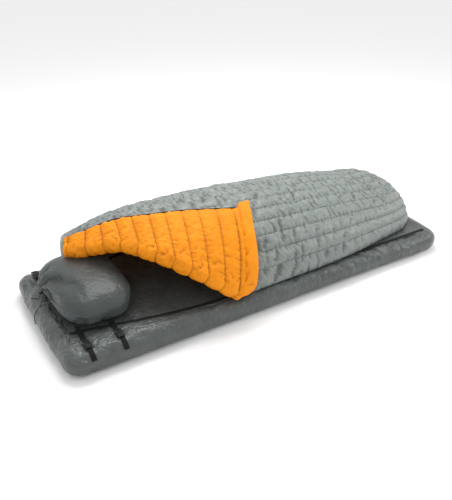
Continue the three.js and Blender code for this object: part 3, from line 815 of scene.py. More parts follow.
body_points = [shell_points.reshape(-1, 3), lining_points.reshape(-1, 3)]
cols, rows = shape
outer_at = np.arange(cols * rows).reshape(shape)
inner_at = outer_at + cols * rows
tip_at = 2 * cols * rows + np.arange(3 * rows).reshape(3, rows)
body_points += [tips(0.2), tips(0.5), tips(0.8)]
near_at = tip_at.max() + 1 + np.arange(cols)
far_at = near_at + cols
body_points += [
    edge_roll(shell_points[:, 0], lining_points[:, 0], (0, 0, -0.0005)),
    edge_roll(shell_points[:, -1], lining_points[:, -1], (0, 0, -0.004)),
]
faces = []
kinds = []


def strip(line_a, line_b, kind):
    for i in range(len(line_a) - 1):
        faces.append((line_a[i], line_b[i], line_b[i + 1], line_a[i + 1]))
        kinds.append(kind)


for i in range(cols - 1):
    strip(outer_at[i], outer_at[i + 1], 0)
    strip(inner_at[i + 1], inner_at[i], 1)
foot_lines = [outer_at[-1], *tip_at, inner_at[-1]]
for a, b in zip(foot_lines, foot_lines[1:]):
    strip(a, b, 0)
strip(inner_at[0], outer_at[0], 0)
for edge, middle, flip in (
        (outer_at[:, 0], near_at, False), (outer_at[:, -1], far_at, True)):
    inner_edge = inner_at[:, 0] if not flip else inner_at[:, -1]
    lines = (edge, middle, inner_edge) if not flip else (inner_edge, middle, edge)
    strip(lines[0], lines[1], 0)
    strip(lines[1], lines[2], 0)
for row, middle in ((0, near_at), (-1, far_at)):
    corner_ring = [outer_at[-1, row], *tip_at[:, row], inner_at[-1, row], middle[-1]]
    faces.append(tuple(int(v) for v in corner_ring))
    kinds.append(0)
    faces.append((int(outer_at[0, row]), int(middle[0]), int(inner_at[0, row])))
    kinds.append(0)

quilt_body = piece_from(
    "quilt_body", np.vstack([np.reshape(p, (-1, 3)) for p in body_points]), faces,
    [shell_grey, lining_orange], kinds)
turn_out(quilt_body)
paint_hollow_shade(quilt_body, 1.7)
wear(quilt_body, "bed", "quilt_shell_fabric", "quilt_shell", "quilt_lining",
     *[f"down_channel_{n:02d}" for n in range(1, channel_count + 1)])
print("quilt body has", len(quilt_body.data.polygons), "faces")

# %% [markdown]
# ## The folded corner
#
# The near head corner is turned back over the quilt, so its lining faces up. Across the fold the
# cross-section is a loop: it comes out from under the quilt, turns round a fat nose, runs up the
# quilt to the flap's border, and returns underneath as shell fabric. Because the lengthwise seams
# are folded with it, they now run across, from the border down to the fold, about 8 cm apart.

# %% Where the flap lies
flap_head = (-0.745, 86.5)
flap_foot = (-0.072, 70.5)
flap_seams = np.array([0.030, 0.115, 0.195, 0.280, 0.366, 0.461, 0.552, 0.651, 0.748, 0.853, 0.958])
flap_top = 0.0320
flap_under = 0.0028


def fold_at(a):
    head_share = 1 - smooth(a, 0.0, 0.30)
    x = mix(fold_head[0], fold_foot[0], a) + 0.5 * fold_inset - 0.046 * head_share
    return x, mix(fold_head[1], fold_foot[1], a) + 2 - 7 * head_share


def border_at(a):
    x = mix(flap_head[0], flap_foot[0], a) - 0.012 * (1 - smooth(a, 0, 0.15))
    angle = mix(flap_head[1], flap_foot[1], a ** 1.2) + 1.0
    angle += 1.5 * (1 - smooth(a, 0, 0.15)) - 2.3 * smooth(a, 0.2, 0.5) - 2.4 * smooth(a, 0.6, 1.0)
    return x, angle


def flap_point(a, b, offset):
    """a runs along the fold, b from the fold to the border."""
    low_x, low_angle = fold_at(a)
    high_x, high_angle = border_at(a)
    return quilt_point(mix(low_x, high_x, b), mix(low_angle, high_angle, b), offset)


def fold_frame(a):
    """The fold's place, its outward normal and the way its nose points."""
    x, angle = fold_at(a)
    here = quilt_point(x, angle, 0 * a)
    up = quilt_normal(x, angle)
    beside = quilt_point(*fold_at(a + 0.01), 0 * a) - here
    forward = np.cross(beside, up)
    forward /= np.linalg.norm(forward, axis=-1, keepdims=True)
    away = here - flap_point(a, 0.3 + 0 * a, 0 * a)
    side = np.where((forward * away).sum(-1) < 0, -1.0, 1.0)
    return here, up, forward * side[..., None]


# %% The flap's grid
pieces_each = 12
flap_a = np.concatenate([[0.0]] + [
    np.linspace(low, high, steps, endpoint=False) for low, high, steps in zip(
        flap_seams, np.r_[flap_seams[1:], 1.0], [pieces_each] * 10 + [4])
] + [[1.0]])
flap_a = np.concatenate([np.linspace(0.0, flap_seams[0], 4, endpoint=False), flap_a[1:]])
sewn_column = np.array([np.abs(flap_seams - a).min() < 1e-9 for a in flap_a])
gap_low = np.r_[0.0, flap_seams][np.searchsorted(flap_seams, flap_a, side="right")]
gap_high = np.r_[flap_seams, 1.0][np.searchsorted(flap_seams, flap_a, side="right")]
between = (flap_a - gap_low) / (gap_high - gap_low)
flap_swell = np.sin(math.pi * np.clip(between, 0, 1)) ** 0.6

nose_rows = 12
panel_rows = 48
nose_turn = np.radians(np.linspace(-90, 90, nose_rows, endpoint=False))
panel_b = np.linspace(0.0, 1.0, panel_rows)
here, up, forward = fold_frame(flap_a)


def flap_sheet(groove_depth):
    """Points of the nose and the upper side, with the seams sunk by groove_depth."""
    sink = groove_depth * (1 - flap_swell)
    middle = (flap_top - 0.0354) / 2
    half = (flap_top + 0.0354) / 2
    nose = []
    for turn in nose_turn:
        lift = middle + (half - sink) * math.sin(turn)
        out = 0.004 + (0.027 - sink) * math.cos(turn)
        nose.append(here + up * lift[:, None] + forward * out[:, None])
    panel = []
    for b in panel_b:
        top = flap_top - 0.007 * smooth(b, 0.86, 1.0) + 0.004 * (1 - smooth(b, 0.0, 0.3))
        easing = mix(1.0, 0.45, smooth(b, 0.75, 1.0))
        panel.append(flap_point(flap_a, b + 0 * flap_a, top - sink * easing))
    return np.stack(nose + panel, 1)


flap_start = flap_sheet(0.0068)
flap_near = 2 * np.minimum(between, 1 - between)
flap_zone = (1 - np.exp(-flap_near / 0.12)) * (1 - flap_near) ** 1.2
row_spot = np.r_[np.linspace(-0.25, 0, nose_rows, endpoint=False), panel_b] * 0.45
spots = np.stack(np.meshgrid(flap_a * 0.80, row_spot, [0.0], indexing="ij"), -1)[:, :, 0]
flap_ribs = grain((spots * (0.16, 1, 1)).reshape(-1, 3), 0.0095, 31).reshape(flap_start.shape[:2])
flap_broad = grain((spots * (1.0, 0.6, 1)).reshape(-1, 3), 0.020, 32).reshape(flap_start.shape[:2])
flap_rib_height = 0.0050
flap_bumps = flap_rib_height * flap_zone[:, None] * flap_ribs + 0.0030 * flap_swell[:, None] * flap_broad
flap_up = np.broadcast_to(up[:, None, :], flap_start.shape)
flap_start = flap_start + flap_up * flap_bumps[..., None]
flap_shape = flap_start.shape[:2]
print("flap grid", flap_shape)

# %% Puff the lining of the flap
flap_sewn = np.zeros(flap_shape)
flap_sewn[sewn_column, :] = 1
flap_sewn[0, :] = 1
flap_sewn[-1, :] = 1
flap_sewn[:, 0] = 1
flap_sewn[:, -1] = 1
row_at = np.r_[np.full(nose_rows, 0.0), panel_b]
near_fold = 1 - smooth(row_at, 0.05, 0.6)
near_head = 1 - smooth(flap_a, 0.25, 0.7)
flap_spare = np.clip(0.22 + 0.55 * near_fold[None, :] + 0.45 * near_head[:, None], 0, 1)
flap_spare = flap_spare * (0.8 + 0.3 * grain(flap_start.reshape(-1, 3), 0.05, 7).reshape(flap_shape))
flap_cloth = piece_from("flap_cloth", flap_start.reshape(-1, 3), grid_faces(*flap_shape), [lining_orange])
face_out(flap_cloth, (0, -0.3, 1))
puff(flap_cloth, flap_sewn.ravel(), np.clip(flap_spare, 0, 1).ravel(), 0.055, pressure=3.0, limit=0.006)
flap_upper = points_of(flap_cloth).reshape(*flap_shape, 3)
bpy.data.objects.remove(flap_cloth)

# %% [markdown]
# ## Closing the flap
#
# The underside is shell fabric that rests on the crowns below, so it is nearly flat. Its border is
# a thin sewn edge, and the head end of the roll is rounded off by shrinking its last loops
# towards their middle.

# %% The closed flap
under_b = np.linspace(1.0, 0.0, 14)
under = [flap_point(flap_a, b + 0 * flap_a, flap_under + 0.001 * flap_swell) for b in under_b[:-1]]
inner_turn = here + up * flap_under + forward * 0.004
under.append(inner_turn)
under.append(here - up * 0.016 + forward * 0.004)
loops = np.concatenate([flap_upper, np.stack(under, 1)], 1)
round_off = np.array([0.45, 0.80, 0.94, 0.99])
for i, share in enumerate(round_off):
    centre = loops[i].mean(0)
    loops[i] = centre + (loops[i] - centre) * share
loop_size = loops.shape[1]
ring_faces = []
ring_kinds = []
shell_rows = range(flap_shape[1], loop_size - 1)
for i in range(len(flap_a) - 1):
    for k in range(loop_size):
        n = (k + 1) % loop_size
        a = i * loop_size
        ring_faces.append((a + k, a + n, a + loop_size + n, a + loop_size + k))
        ring_kinds.append(1 if k in shell_rows else 0)
count = loops.shape[0] * loop_size
caps = [loops[0].mean(0), loops[-1].mean(0)]
last = (len(flap_a) - 1) * loop_size
for k in range(loop_size):
    n = (k + 1) % loop_size
    ring_faces.append((k, n, count))
    ring_faces.append((last + n, last + k, count + 1))
    ring_kinds += [0, 0]
flap = piece_from("folded_corner", np.vstack([loops.reshape(-1, 3), caps]), ring_faces,
                  [lining_orange, shell_grey], ring_kinds)
turn_out(flap)
paint_hollow_shade(flap, 0.8)
print("folded corner has", len(flap.data.polygons), "faces")

# %% [markdown]
# ## The flap's hinge
#
# The CAD lets the flap turn about a straight line along the fold. Its point and axis are read here,
# with the way from the hinge to the flap's border. The flap's pieces are not bent with it: each
# keeps its place, and the CAD nodes that it stands for are hidden.

# %% The hinge
hinge = next(j for j in frame["joints"] if j["name"] == "flap_fold")
hinge_point = np.array(hinge["pos_m"])
hinge_axis = np.array(hinge["axis"]) / np.linalg.norm(hinge["axis"])
to_border = flap_point(np.array([1.0]), np.array([1.0]), np.array([0.0]))[0] - hinge_point
panel_way = to_border - hinge_axis * to_border.dot(hinge_axis)
panel_way /= np.linalg.norm(panel_way)


def bends_with_flap(piece, slot, *nodes):
    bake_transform(piece)
    if nodes:
        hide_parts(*nodes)


bends_with_flap(flap, "lining_fabric", "fold_roll", "flap_shell", "flap_down", "flap_lining")

# %% [markdown]
# ## The hem and the draft collar
#
# A narrow dark tape binds the flap's border. Along its foot-side edge runs the draft collar, a
# stuffed tube that blocks cold air when the quilt is closed. It stands a little past the border at
# the top and curls under at the fold.

# %% Hem tape
hem_a = np.linspace(0.10, 0.985, 120)
hem_rings = []
for a in hem_a:
    x, angle = border_at(a)
    ring = []
    for side, lift in ((0.25, 0.002), (0.75, 0.004), (0.95, 0.013), (0.75, 0.0235), (0.1, 0.0262),
                       (-0.55, 0.0262), (-0.35, 0.0225), (0.1, 0.013), (-0.1, 0.004)):
        wobble = 0.10 * noise.noise(Vector((a * 30, lift * 60, 0)))
        ring.append(quilt_point(x, angle + side + wobble, lift))
    hem_rings.append(ring)
hem_rings = np.array(hem_rings)
hem = piece_from("border_tape", hem_rings.reshape(-1, 3), tube_faces(len(hem_a), 9), [tape_black])
turn_out(hem)
refine(hem)
bends_with_flap(hem, "binding_tape", "flap_hem")

# %% Draft collar
collar_left = through([4, 8.5, 20, 44, 64, 73],
                      [-0.252, -0.234, -0.194, -0.136, -0.086, -0.054])
collar_right = through([4, 20, 41.5, 58, 70.5],
                       [-0.150, -0.118, -0.078, -0.040, 0.000])
collar_angles = np.interp(np.linspace(0, 1, 46), np.linspace(0, 1, 5), [3.0, 15.0, 35.0, 55.0, 71.5])
collar_sides = 24
collar_rings = []
for k, angle in enumerate(collar_angles):
    left = float(collar_left(angle))
    right = float(collar_right(angle))
    end = min(k / 4.0, 1.0)
    shut = math.sqrt(max(1 - (1 - end) ** 2, 0.03))
    top = min((len(collar_angles) - 1 - k) / 1.2, 1.0)
    flat = 0.45 + 0.55 * math.sqrt(top)
    ring = []
    for turn in np.linspace(0, 2 * math.pi, collar_sides, endpoint=False):
        across_it = math.copysign(abs(math.cos(turn)) ** 0.85, math.cos(turn)) * shut
        lift = math.copysign(abs(math.sin(turn)) ** 0.8, math.sin(turn)) * shut * flat
        x = mix(left, right, 0.5 + 0.5 * across_it)
        ring.append(quilt_point(x, angle, 0.0205 + 0.0165 * lift))
    collar_rings.append(ring)
collar_rings = np.array(collar_rings)
collar = piece_from("collar", collar_rings.reshape(-1, 3),
                    tube_faces(len(collar_angles), collar_sides), [lining_orange])
turn_out(collar)
collar_sewn = np.zeros(collar_rings.shape[:2])
collar_sewn[:, collar_sides // 2] = 1
collar_sewn[:, -collar_sides // 4] = 1
collar_sewn[-1, :] = 1
puff(collar, collar_sewn.ravel(), np.ones(collar_sewn.size), 0.06, pressure=3.0, limit=0.006)
refine(collar)
paint_hollow_shade(collar)
bends_with_flap(collar, "lining_fabric", "draft_collar")
print("border tape and collar made")

# %% [markdown]
# ## The fitted sheet's side panel
#
# The sheet goes over the mattress like a fitted bed sheet. Its side panel runs from the seam on top,
# over the half-round edge and under to an elastic hem. It is stretched in places and slack in
# others: crumpled at the head end and beside the feet, smoother along the near side. The grid
# follows the mattress's outline, and the same cloth recipe crumples it, held at seam and hem.

# %% The mattress's outline
pad_length = 1.960
pad_width = 0.730
pad_thick = 0.100
pad_corner = 0.090
pad_round = pad_thick / 2


def outline(side_counts):
    """Centre of curvature and outward direction for points round the mattress, side by side."""
    centres = []
    outs = []
    shares = []
    names = []
    half_x = pad_length / 2 - pad_corner
    half_y = pad_width / 2 - pad_corner
    arc = pad_corner * math.pi / 4
    for number, (start, straight) in enumerate(
            ((-90, 2 * half_x), (0, 2 * half_y), (90, 2 * half_x), (180, 2 * half_y))):
        turn = math.radians(start)
        out = np.array((math.cos(turn), math.sin(turn)))
        along = np.array((-out[1], out[0]))
        middle = np.array((out[0] * half_x, out[1] * half_y))
        total = 2 * arc + straight
        for k in range(side_counts[number]):
            share = k / side_counts[number]
            run = share * total
            if run < arc:
                angle = turn - math.pi / 4 * (1 - run / arc)
                centre = middle - along * straight / 2
            elif run > arc + straight:
                angle = turn + math.pi / 4 * (run - arc - straight) / arc
                centre = middle + along * straight / 2
            else:
                angle = turn
                centre = middle + along * (run - arc - straight / 2)
            centres.append(centre)
            outs.append((math.cos(angle), math.sin(angle)))
            shares.append(share)
            names.append(number)
    return np.array(centres), np.array(outs), np.array(shares), np.array(names)


def ring_at(centres, outs, inset, height):
    flat = centres + outs * (pad_corner - inset)
    return np.c_[flat, np.full(len(flat), height)]


# %% The sheet's top seam
seam_half = 0.294
seam_head_half = 0.187
seam_end = 0.900
seam_taper_from = -0.190


def seam_curve():
    reach = seam_half - seam_head_half
    p = np.array([
        (-seam_end, seam_head_half),
        (mix(-seam_end, seam_taper_from, 0.32), seam_head_half + 0.35 * reach),
        (mix(-seam_end, seam_taper_from, 0.55), seam_half - 0.02 * reach),
        (seam_taper_from, seam_half)])
    t = np.linspace(0, 1, 60)[:, None]
    curve = (1 - t) ** 3 * p[0] + 3 * (1 - t) ** 2 * t * p[1] + 3 * (1 - t) * t ** 2 * p[2] + t ** 3 * p[3]
    return np.vstack([curve, [(seam_end, seam_half)]])


seam_xy = seam_curve()


def seam_at(x):
    return np.interp(x, seam_xy[:, 0], seam_xy[:, 1])


def seam_points(shares, names):
    """The points of the top seam that belong to the outline's points."""
    x = np.select([names == 0, names == 1, names == 2], [
        mix(-seam_end, seam_end, shares), seam_end + 0 * shares, mix(seam_end, -seam_end, shares),
    ], -seam_end + 0 * shares)
    y = np.select([names == 0, names == 1, names == 2], [
        -seam_at(x), mix(-seam_half, seam_half, shares), seam_at(x),
    ], mix(seam_head_half, -seam_head_half, shares))
    return np.c_[x, y, np.full(len(x), pad_thick)]


# %% Grid of the side panel
centres, outs, shares, names = outline((164, 58, 164, 58))
seam_line = seam_points(shares, names)
rim = ring_at(centres, outs, pad_round, pad_thick)
top_rows = 8
side_rows = 15
panel_rings = [mix(seam_line, rim, k / top_rows) for k in range(top_rows)]
panel_normals = [np.tile((0.0, 0.0, 1.0), (len(rim), 1))] * top_rows
for turn in np.linspace(0, math.pi, side_rows):
    inset = pad_round * (1 - math.sin(turn))
    panel_rings.append(ring_at(centres, outs, inset, pad_round * (1 + math.cos(turn))))
    panel_normals.append(np.c_[outs * math.sin(turn), np.full(len(outs), math.cos(turn))])
for inset in (0.058, 0.066, 0.075):
    panel_rings.append(ring_at(centres, outs, inset, 0.0))
    panel_normals.append(np.tile((0.0, 0.0, -1.0), (len(rim), 1)))
side_panel_start = np.stack(panel_rings, 1)
side_panel_normals = np.stack(panel_normals, 1)
panel_shape = side_panel_start.shape[:2]
print("side panel grid", panel_shape)

# %% Crumple the side panel
x = side_panel_start[..., 0]
y = side_panel_start[..., 1]
slack_at_head = 1 - smooth(x, -0.90, -0.70)
slack_at_feet = smooth(x, -0.05, 0.12) * (1 - smooth(x, 0.70, 0.86))
panel_spare = np.clip(0.22 + 0.6 * slack_at_head + 0.75 * slack_at_feet, 0, 1)
patches = grain(side_panel_start.reshape(-1, 3), 0.10, 11).reshape(panel_shape)
panel_spare = np.clip(panel_spare * (0.85 + 0.5 * patches), 0, 1)
panel_sewn = np.zeros(panel_shape)
panel_sewn[:, 0] = 1
panel_sewn[:, -3:] = 1
side_panel = piece_from("sheet_side", side_panel_start.reshape(-1, 3),
                        grid_faces(*panel_shape, around=True), [sheet_grey])
outward = [f.normal.dot(Vector((f.center.x, f.center.y, 0))) for f in side_panel.data.polygons]
if sum(outward) < 0:
    side_panel.data.flip_normals()
puff(side_panel, panel_sewn.ravel(), panel_spare.ravel(), 0.06, pressure=1.0, limit=0.012)
moved = points_of(side_panel).reshape(*panel_shape, 3) - side_panel_start
out_by = (moved * side_panel_normals).sum(-1)
sideways = moved - out_by[..., None] * side_panel_normals
strap_lines = ((-0.868, -1), (-0.736, -1), (-0.888, 1), (-0.736, 1))
under_strap = np.zeros(panel_shape, bool)
for strap_x, side in strap_lines:
    under_strap |= (np.abs(x - strap_x) < 0.022) & (y * side > 0.17)
on_top = side_panel_normals[..., 2] > 0.99
near_seam = np.linalg.norm(side_panel_start - seam_line[:, None, :], axis=-1) < 0.016
highest = np.where(on_top & near_seam, 0.0, 0.005)
highest = np.where(under_strap, -0.0004, highest)
highest = np.where(side_panel_normals[..., 2] < -0.5, 0.0, highest)
beside_quilt = on_top & (x > -0.25)
highest = np.where(beside_quilt, np.minimum(highest, 0.001), highest)
out_by = np.clip(out_by, -0.0045, highest)
fold_spots = np.stack([x / 0.020, y / 0.020, side_panel_start[..., 2] / 0.16], -1)
folds = grain(fold_spots.reshape(-1, 3), 1.0, 15)
folds = 1 - 2.6 * np.abs(folds.reshape(panel_shape))
slant_x = (x + 1.2 * side_panel_start[..., 2]) / 0.030
slant = grain(np.stack([slant_x, y / 0.15, 0 * x], -1).reshape(-1, 3), 1.0, 16)
slant = 1 - 2.6 * np.abs(slant.reshape(panel_shape))
folded = np.clip(folds, 0, 1) * slack_at_feet + np.clip(slant, 0, 1) * (0.35 + 0.5 * slack_at_head)
fold_depth = 0.0042
out_by -= fold_depth * np.clip(folded, 0, 1) * (side_panel_normals[..., 2] > -0.5)
settled = side_panel_start + sideways * 0.7 + out_by[..., None] * side_panel_normals
settled[..., 2] = np.clip(settled[..., 2], 0.0002, None)
move_points(side_panel, settled.reshape(-1, 3))
refine(side_panel)
paint_hollow_shade(side_panel, 1.6)
wear(side_panel, "bed", "sheet_fabric", "sheet_side_panel")

# %% [markdown]
# ## The top panel, the mattress and the attachment strips
#
# The panel that the sleeper lies on is a flat piece of the same cloth with soft folds across it.
# The mattress inside shows only underneath, through the opening of the hem. It is made 8 mm
# smaller all round than the sheet, which leaves room for the sheet's creases. Two dark strips lie over the
# seam on each side, where the quilt clips on.

# %% Top panel
panel_u, panel_v = np.meshgrid(np.linspace(0, 1, 190), np.linspace(0, 1, 56), indexing="ij")
top_x = mix(-seam_end, seam_end, panel_u)
top_y = mix(-seam_at(top_x), seam_at(top_x), panel_v)
fold_at_x = grain(np.stack([top_x.ravel() / 0.030, top_y.ravel() / 0.16, 0 * top_x.ravel()], 1), 1.0, 5)
soft = grain(np.stack([top_x.ravel(), top_y.ravel(), 0 * top_x.ravel()], 1), 0.07, 6)
dip = 0.0026 * np.clip(-fold_at_x * 0.8 - 0.2 * soft + 0.15, 0, 1).reshape(top_x.shape)
edge_ease = smooth(panel_v, 0, 0.05) * (1 - smooth(panel_v, 0.95, 1)) * smooth(panel_u, 0, 0.02)
top_points = np.stack([top_x, top_y, pad_thick - dip * edge_ease], -1)
top_panel = piece_from("sheet_top", top_points.reshape(-1, 3), grid_faces(*top_x.shape), [sheet_grey])
paint_hollow_shade(top_panel, 1.5)
wear(top_panel, "bed", "sheet_fabric", "sheet_top_panel")

# %% Mattress
centres_m, outs_m, _, _ = outline((60, 28, 60, 28))
mattress_rings = []
for turn in np.linspace(0, math.pi, 13):
    inset = pad_round - 0.042 * math.sin(turn)
    mattress_rings.append(ring_at(centres_m, outs_m, inset, pad_round + 0.042 * math.cos(turn)))
mattress_rings.append(ring_at(centres_m, outs_m, 0.0850, 0.0080))
mattress_rings.append(ring_at(centres_m, outs_m, 0.0862, 0.0014))
mattress_rings.append(ring_at(centres_m, outs_m, 0.0885, 0.0003))
stack = np.stack(mattress_rings, 1)
mattress_faces = grid_faces(*stack.shape[:2], around=True)
ring_count, deep = stack.shape[:2]
mattress_faces.append(tuple(k * deep for k in range(ring_count)))
mattress_faces.append(tuple(k * deep + deep - 1 for k in reversed(range(ring_count))))
mattress = piece_from("mattress", stack.reshape(-1, 3), mattress_faces, [mattress_blue])
turn_out(mattress)
wear(mattress, "bed", "mattress_fabric", "mattress_core")

# %% Attachment strips
for name, side in (("near", -1), ("far", 1)):
    xs = np.linspace(-seam_end, seam_end, 240)
    ys = seam_at(xs)
    way = np.stack([np.gradient(xs), np.gradient(ys)], 1)
    way /= np.linalg.norm(way, axis=1, keepdims=True)
    across_way = np.stack([-way[:, 1], way[:, 0]], 1)
    rings = []
    for k in range(len(xs)):
        wave = 0.0009 * noise.noise(Vector((xs[k] * 22, side * 3.0, 0.0)))
        ring = []
        for share, height in ((-1, 0.0004), (1, 0.0004), (1.0, 0.0016), (0.82, 0.0024),
                              (0.0, 0.0022), (-0.82, 0.0024), (-1.0, 0.0016)):
            spot = np.array((xs[k], ys[k])) + across_way[k] * (share * 0.0068 + wave)
            ring.append((spot[0], side * spot[1], pad_thick + height))
        rings.append(ring)
    rings = np.array(rings)
    strip_piece = piece_from(f"strip_{name}", rings.reshape(-1, 3), tube_faces(len(xs), 7), [tape_black])
    turn_out(strip_piece)
    wear(strip_piece, "bed", "binding_tape", f"attachment_strip_{name}")
print("top panel, mattress and strips made")

# %% [markdown]
# ## The stuff-sack pillow
#
# The pillow is a round-cornered sack stuffed with clothes or down, drawn shut at one end. It starts
# as a sphere whose pole sits at the mouth, pressed into a block with soft corners. Near the mouth
# there is far more cloth than room, and the cloth recipe turns that into the pleats that run away
# from it. Its lowest part is flat, because it rests on the sheet.

# %% The sack
pillow_centre = np.array((-0.765, 0.004, 0.154))
pillow_half = np.array((0.156, 0.218, 0.087))
pillow_powers = (0.62, 0.58, 0.70)
mouth_way = Vector((-0.988, 0.155, 0.0)).normalized()
to_mouth = mouth_way.to_track_quat("Z", "Y").to_matrix()
rounds = 112
lats = 64
pillow_theta = np.concatenate([
    np.linspace(0.055, 0.5, 16, endpoint=False), np.linspace(0.5, 3.08, lats - 16)])
pillow_phi = np.linspace(0, 2 * math.pi, rounds, endpoint=False)


def direction(t, p):
    return to_mouth @ Vector((math.sin(t) * math.cos(p), math.sin(t) * math.sin(p), math.cos(t)))


directions = np.array([[direction(t, p) for t in pillow_theta] for p in pillow_phi])


def block(ways, shrink=0.0):
    """Points of the pillow in these directions: a sphere pressed into a soft-cornered block."""
    height = np.where(ways[..., 2] > 0, pillow_half[2], 0.0505)
    size = np.stack([
        np.full(height.shape, pillow_half[0]), np.full(height.shape, pillow_half[1]), height], -1) - shrink
    powers = np.array(pillow_powers)
    return pillow_centre + size * np.sign(ways) * np.abs(ways) ** powers


pillow_start = block(directions)
theta_grid = np.broadcast_to(pillow_theta, pillow_start.shape[:2])
pleat_wave = np.array([noise.noise(Vector((math.cos(p) * 3.6, math.sin(p) * 3.6, 2.0))) for p in pillow_phi])
pleat_wave = 1 - 2.4 * np.abs(pleat_wave)[:, None]
pleat_reach = np.exp(-((theta_grid - 0.22) / 0.55) ** 2)
tension = grain(pillow_start.reshape(-1, 3) * (0.22, 0.22, 2.2), 0.034, 19).reshape(theta_grid.shape)
tension = np.clip(1 - 3.0 * np.abs(tension), 0, 1)
tension_zone = 1 - smooth(pillow_start[..., 2], 0.13, 0.19)
tension_zone = tension_zone * (1 - smooth(pillow_start[..., 1], -0.17, -0.08))
inward = pillow_centre - pillow_start
inward /= np.linalg.norm(inward, axis=-1, keepdims=True)
pleat_depth = 0.011
tension_depth = 0.007
dents = pleat_depth * np.clip(pleat_wave, -0.3, 1) * pleat_reach + tension_depth * tension * tension_zone
pillow_start = pillow_start + inward * dents[..., None]
pillow_spare = np.clip(1.0 - smooth(theta_grid, 0.10, 1.25), 0, 1) * 0.85 + 0.07
low_near = (1 - smooth(pillow_start[..., 2], 0.115, 0.165)) * (1 - smooth(pillow_start[..., 1], -0.16, -0.05))
pillow_spare = np.clip(pillow_spare + 0.25 * low_near, 0, 1)
pillow_sewn = np.zeros(theta_grid.shape)
pillow_sewn[:, 0] = 1
pillow_sewn[:, -1] = 1
pillow_sewn[pillow_start[..., 2] < 0.1055] = 1
mouth_at = pillow_start[:, 0].mean(0)
pillow_faces = grid_faces(*theta_grid.shape, around=True)
pole_rows = theta_grid.shape[1]
total = theta_grid.size
for k in range(rounds):
    n = (k + 1) % rounds
    pillow_faces.append((k * pole_rows, n * pole_rows, total))
    pillow_faces.append((n * pole_rows + pole_rows - 1, k * pole_rows + pole_rows - 1, total + 1))
poles = [mouth_at + (0.004, 0.0, 0.0), pillow_start[:, -1].mean(0)]
pillow = piece_from("stuff_sack", np.vstack([pillow_start.reshape(-1, 3), poles]), pillow_faces, [sack_grey])
turn_out(pillow)
puff(pillow, np.r_[pillow_sewn.ravel(), 1, 1], np.r_[pillow_spare.ravel(), 0, 0], 0.22,
     pressure=3.0, limit=0.009, bending=0.02)
pillow_points = points_of(pillow)
pillow_points[:, 2] = np.maximum(pillow_points[:, 2], 0.1006)
move_points(pillow, pillow_points)
refine(pillow)
paint_hollow_shade(pillow, 1.6)
wear(pillow, "bed", "sack_fabric", "pillow_sack", "pillow_fill")
print("pillow has", len(pillow.data.polygons), "faces")
# %% [markdown]
# ## Straps, bindings and hem
#
# The pieces of webbing and tape start from the CAD's own shapes. `woven` copies one, rounds its
# edges with a bevel and lets it ripple slightly, since no strap lies perfectly flat. The ripple
# only ever pulls points inwards, towards the piece's own middle, so nothing grows into a neighbour.

# %% Woven pieces
def cad_copy(name, new_name, material):
    mesh = frame["nodes"][name].data.copy()
    mesh.name = new_name
    mesh.materials.clear()
    mesh.materials.append(material)
    copy = bpy.data.objects.new(new_name, mesh)
    copy.matrix_world = frame["nodes"][name].matrix_world
    scene.collection.objects.link(copy)
    work = bmesh.new()
    work.from_mesh(mesh)
    bmesh.ops.remove_doubles(work, verts=work.verts, dist=1e-5)
    bmesh.ops.recalc_face_normals(work, faces=work.faces)
    work.to_mesh(mesh)
    work.free()
    mesh.polygons.foreach_set("use_smooth", [True] * len(mesh.polygons))
    return copy


def rounded(piece, width, segments=2):
    edge = piece.modifiers.new("bevel", "BEVEL")
    edge.width = width
    edge.segments = segments
    edge.limit_method = "ANGLE"
    edge.angle_limit = math.radians(40)
    edge.harden_normals = True
    settle(piece)


def woven(name, new_name, material, slot, depth=0.0003, edge=0.0004):
    piece = cad_copy(name, new_name, material)
    rounded(piece, edge)
    points = points_of(piece)
    normals = np.array([v.normal for v in piece.data.vertices])
    pull = depth * (0.5 + 0.5 * grain(points, 0.018, 9))
    move_points(piece, points - normals * pull[:, None])
    wear(piece, "bed", slot, name)
    return piece


straps = [name for name in frame["nodes"] if name.endswith(("strap_webbing", "strap_anchor"))]
for name in straps:
    woven(name, f"{name}_cloth", web_black, "webbing")
woven("sheet_hem_elastic", "hem_elastic", tape_black, "binding_tape", 0.0002)
print("straps:", len(straps))

# %% [markdown]
# ## The head edge
#
# Where the quilt isn't folded, its head edge is bound with a narrow tape in the shell's own
# colour. It is swept along the place where the channels start, as a rounded C that holds both
# sheets. The small panel that closes the foot end is woven like the straps.

# %% Head tape and foot panel
tape_rings = []
for angle in np.linspace(91, 186, 70):
    start_x = float(open_end(np.array(angle)))
    ring = []
    for ahead, lift in ((0.007, 0.0004), (0.001, 0.0006), (-0.003, -0.006), (-0.004, -0.017),
                        (-0.003, -0.029), (0.001, -0.0352), (0.007, -0.0350), (0.003, -0.017)):
        ring.append(quilt_point(start_x + ahead, angle, lift - 0.006))
    tape_rings.append(ring)
tape_rings = np.array(tape_rings)
head_tape = piece_from("head_tape", tape_rings.reshape(-1, 3), tube_faces(70, 8), [shell_grey])
turn_out(head_tape)
refine(head_tape)
wear(head_tape, "bed", "binding_tape", "head_edge_binding")
woven("foot_end_panel", "foot_panel", shell_grey, "quilt_shell_fabric", 0.0004)
print("head tape has", len(head_tape.data.polygons), "faces")

# %% [markdown]
# ## Buckles and cord lock
#
# These are moulded parts, so they keep the CAD's shapes exactly and get the small rounded edges
# that every moulding has. Each male half rides on its own clip body, and the plunger on its own.

# %% Moulded pieces
def moulding(name, body, edge=0.0005):
    piece = cad_copy(name, f"{name}_moulded", buckle_black)
    rounded(piece, edge)
    wear(piece, body, "buckle_plastic", name)


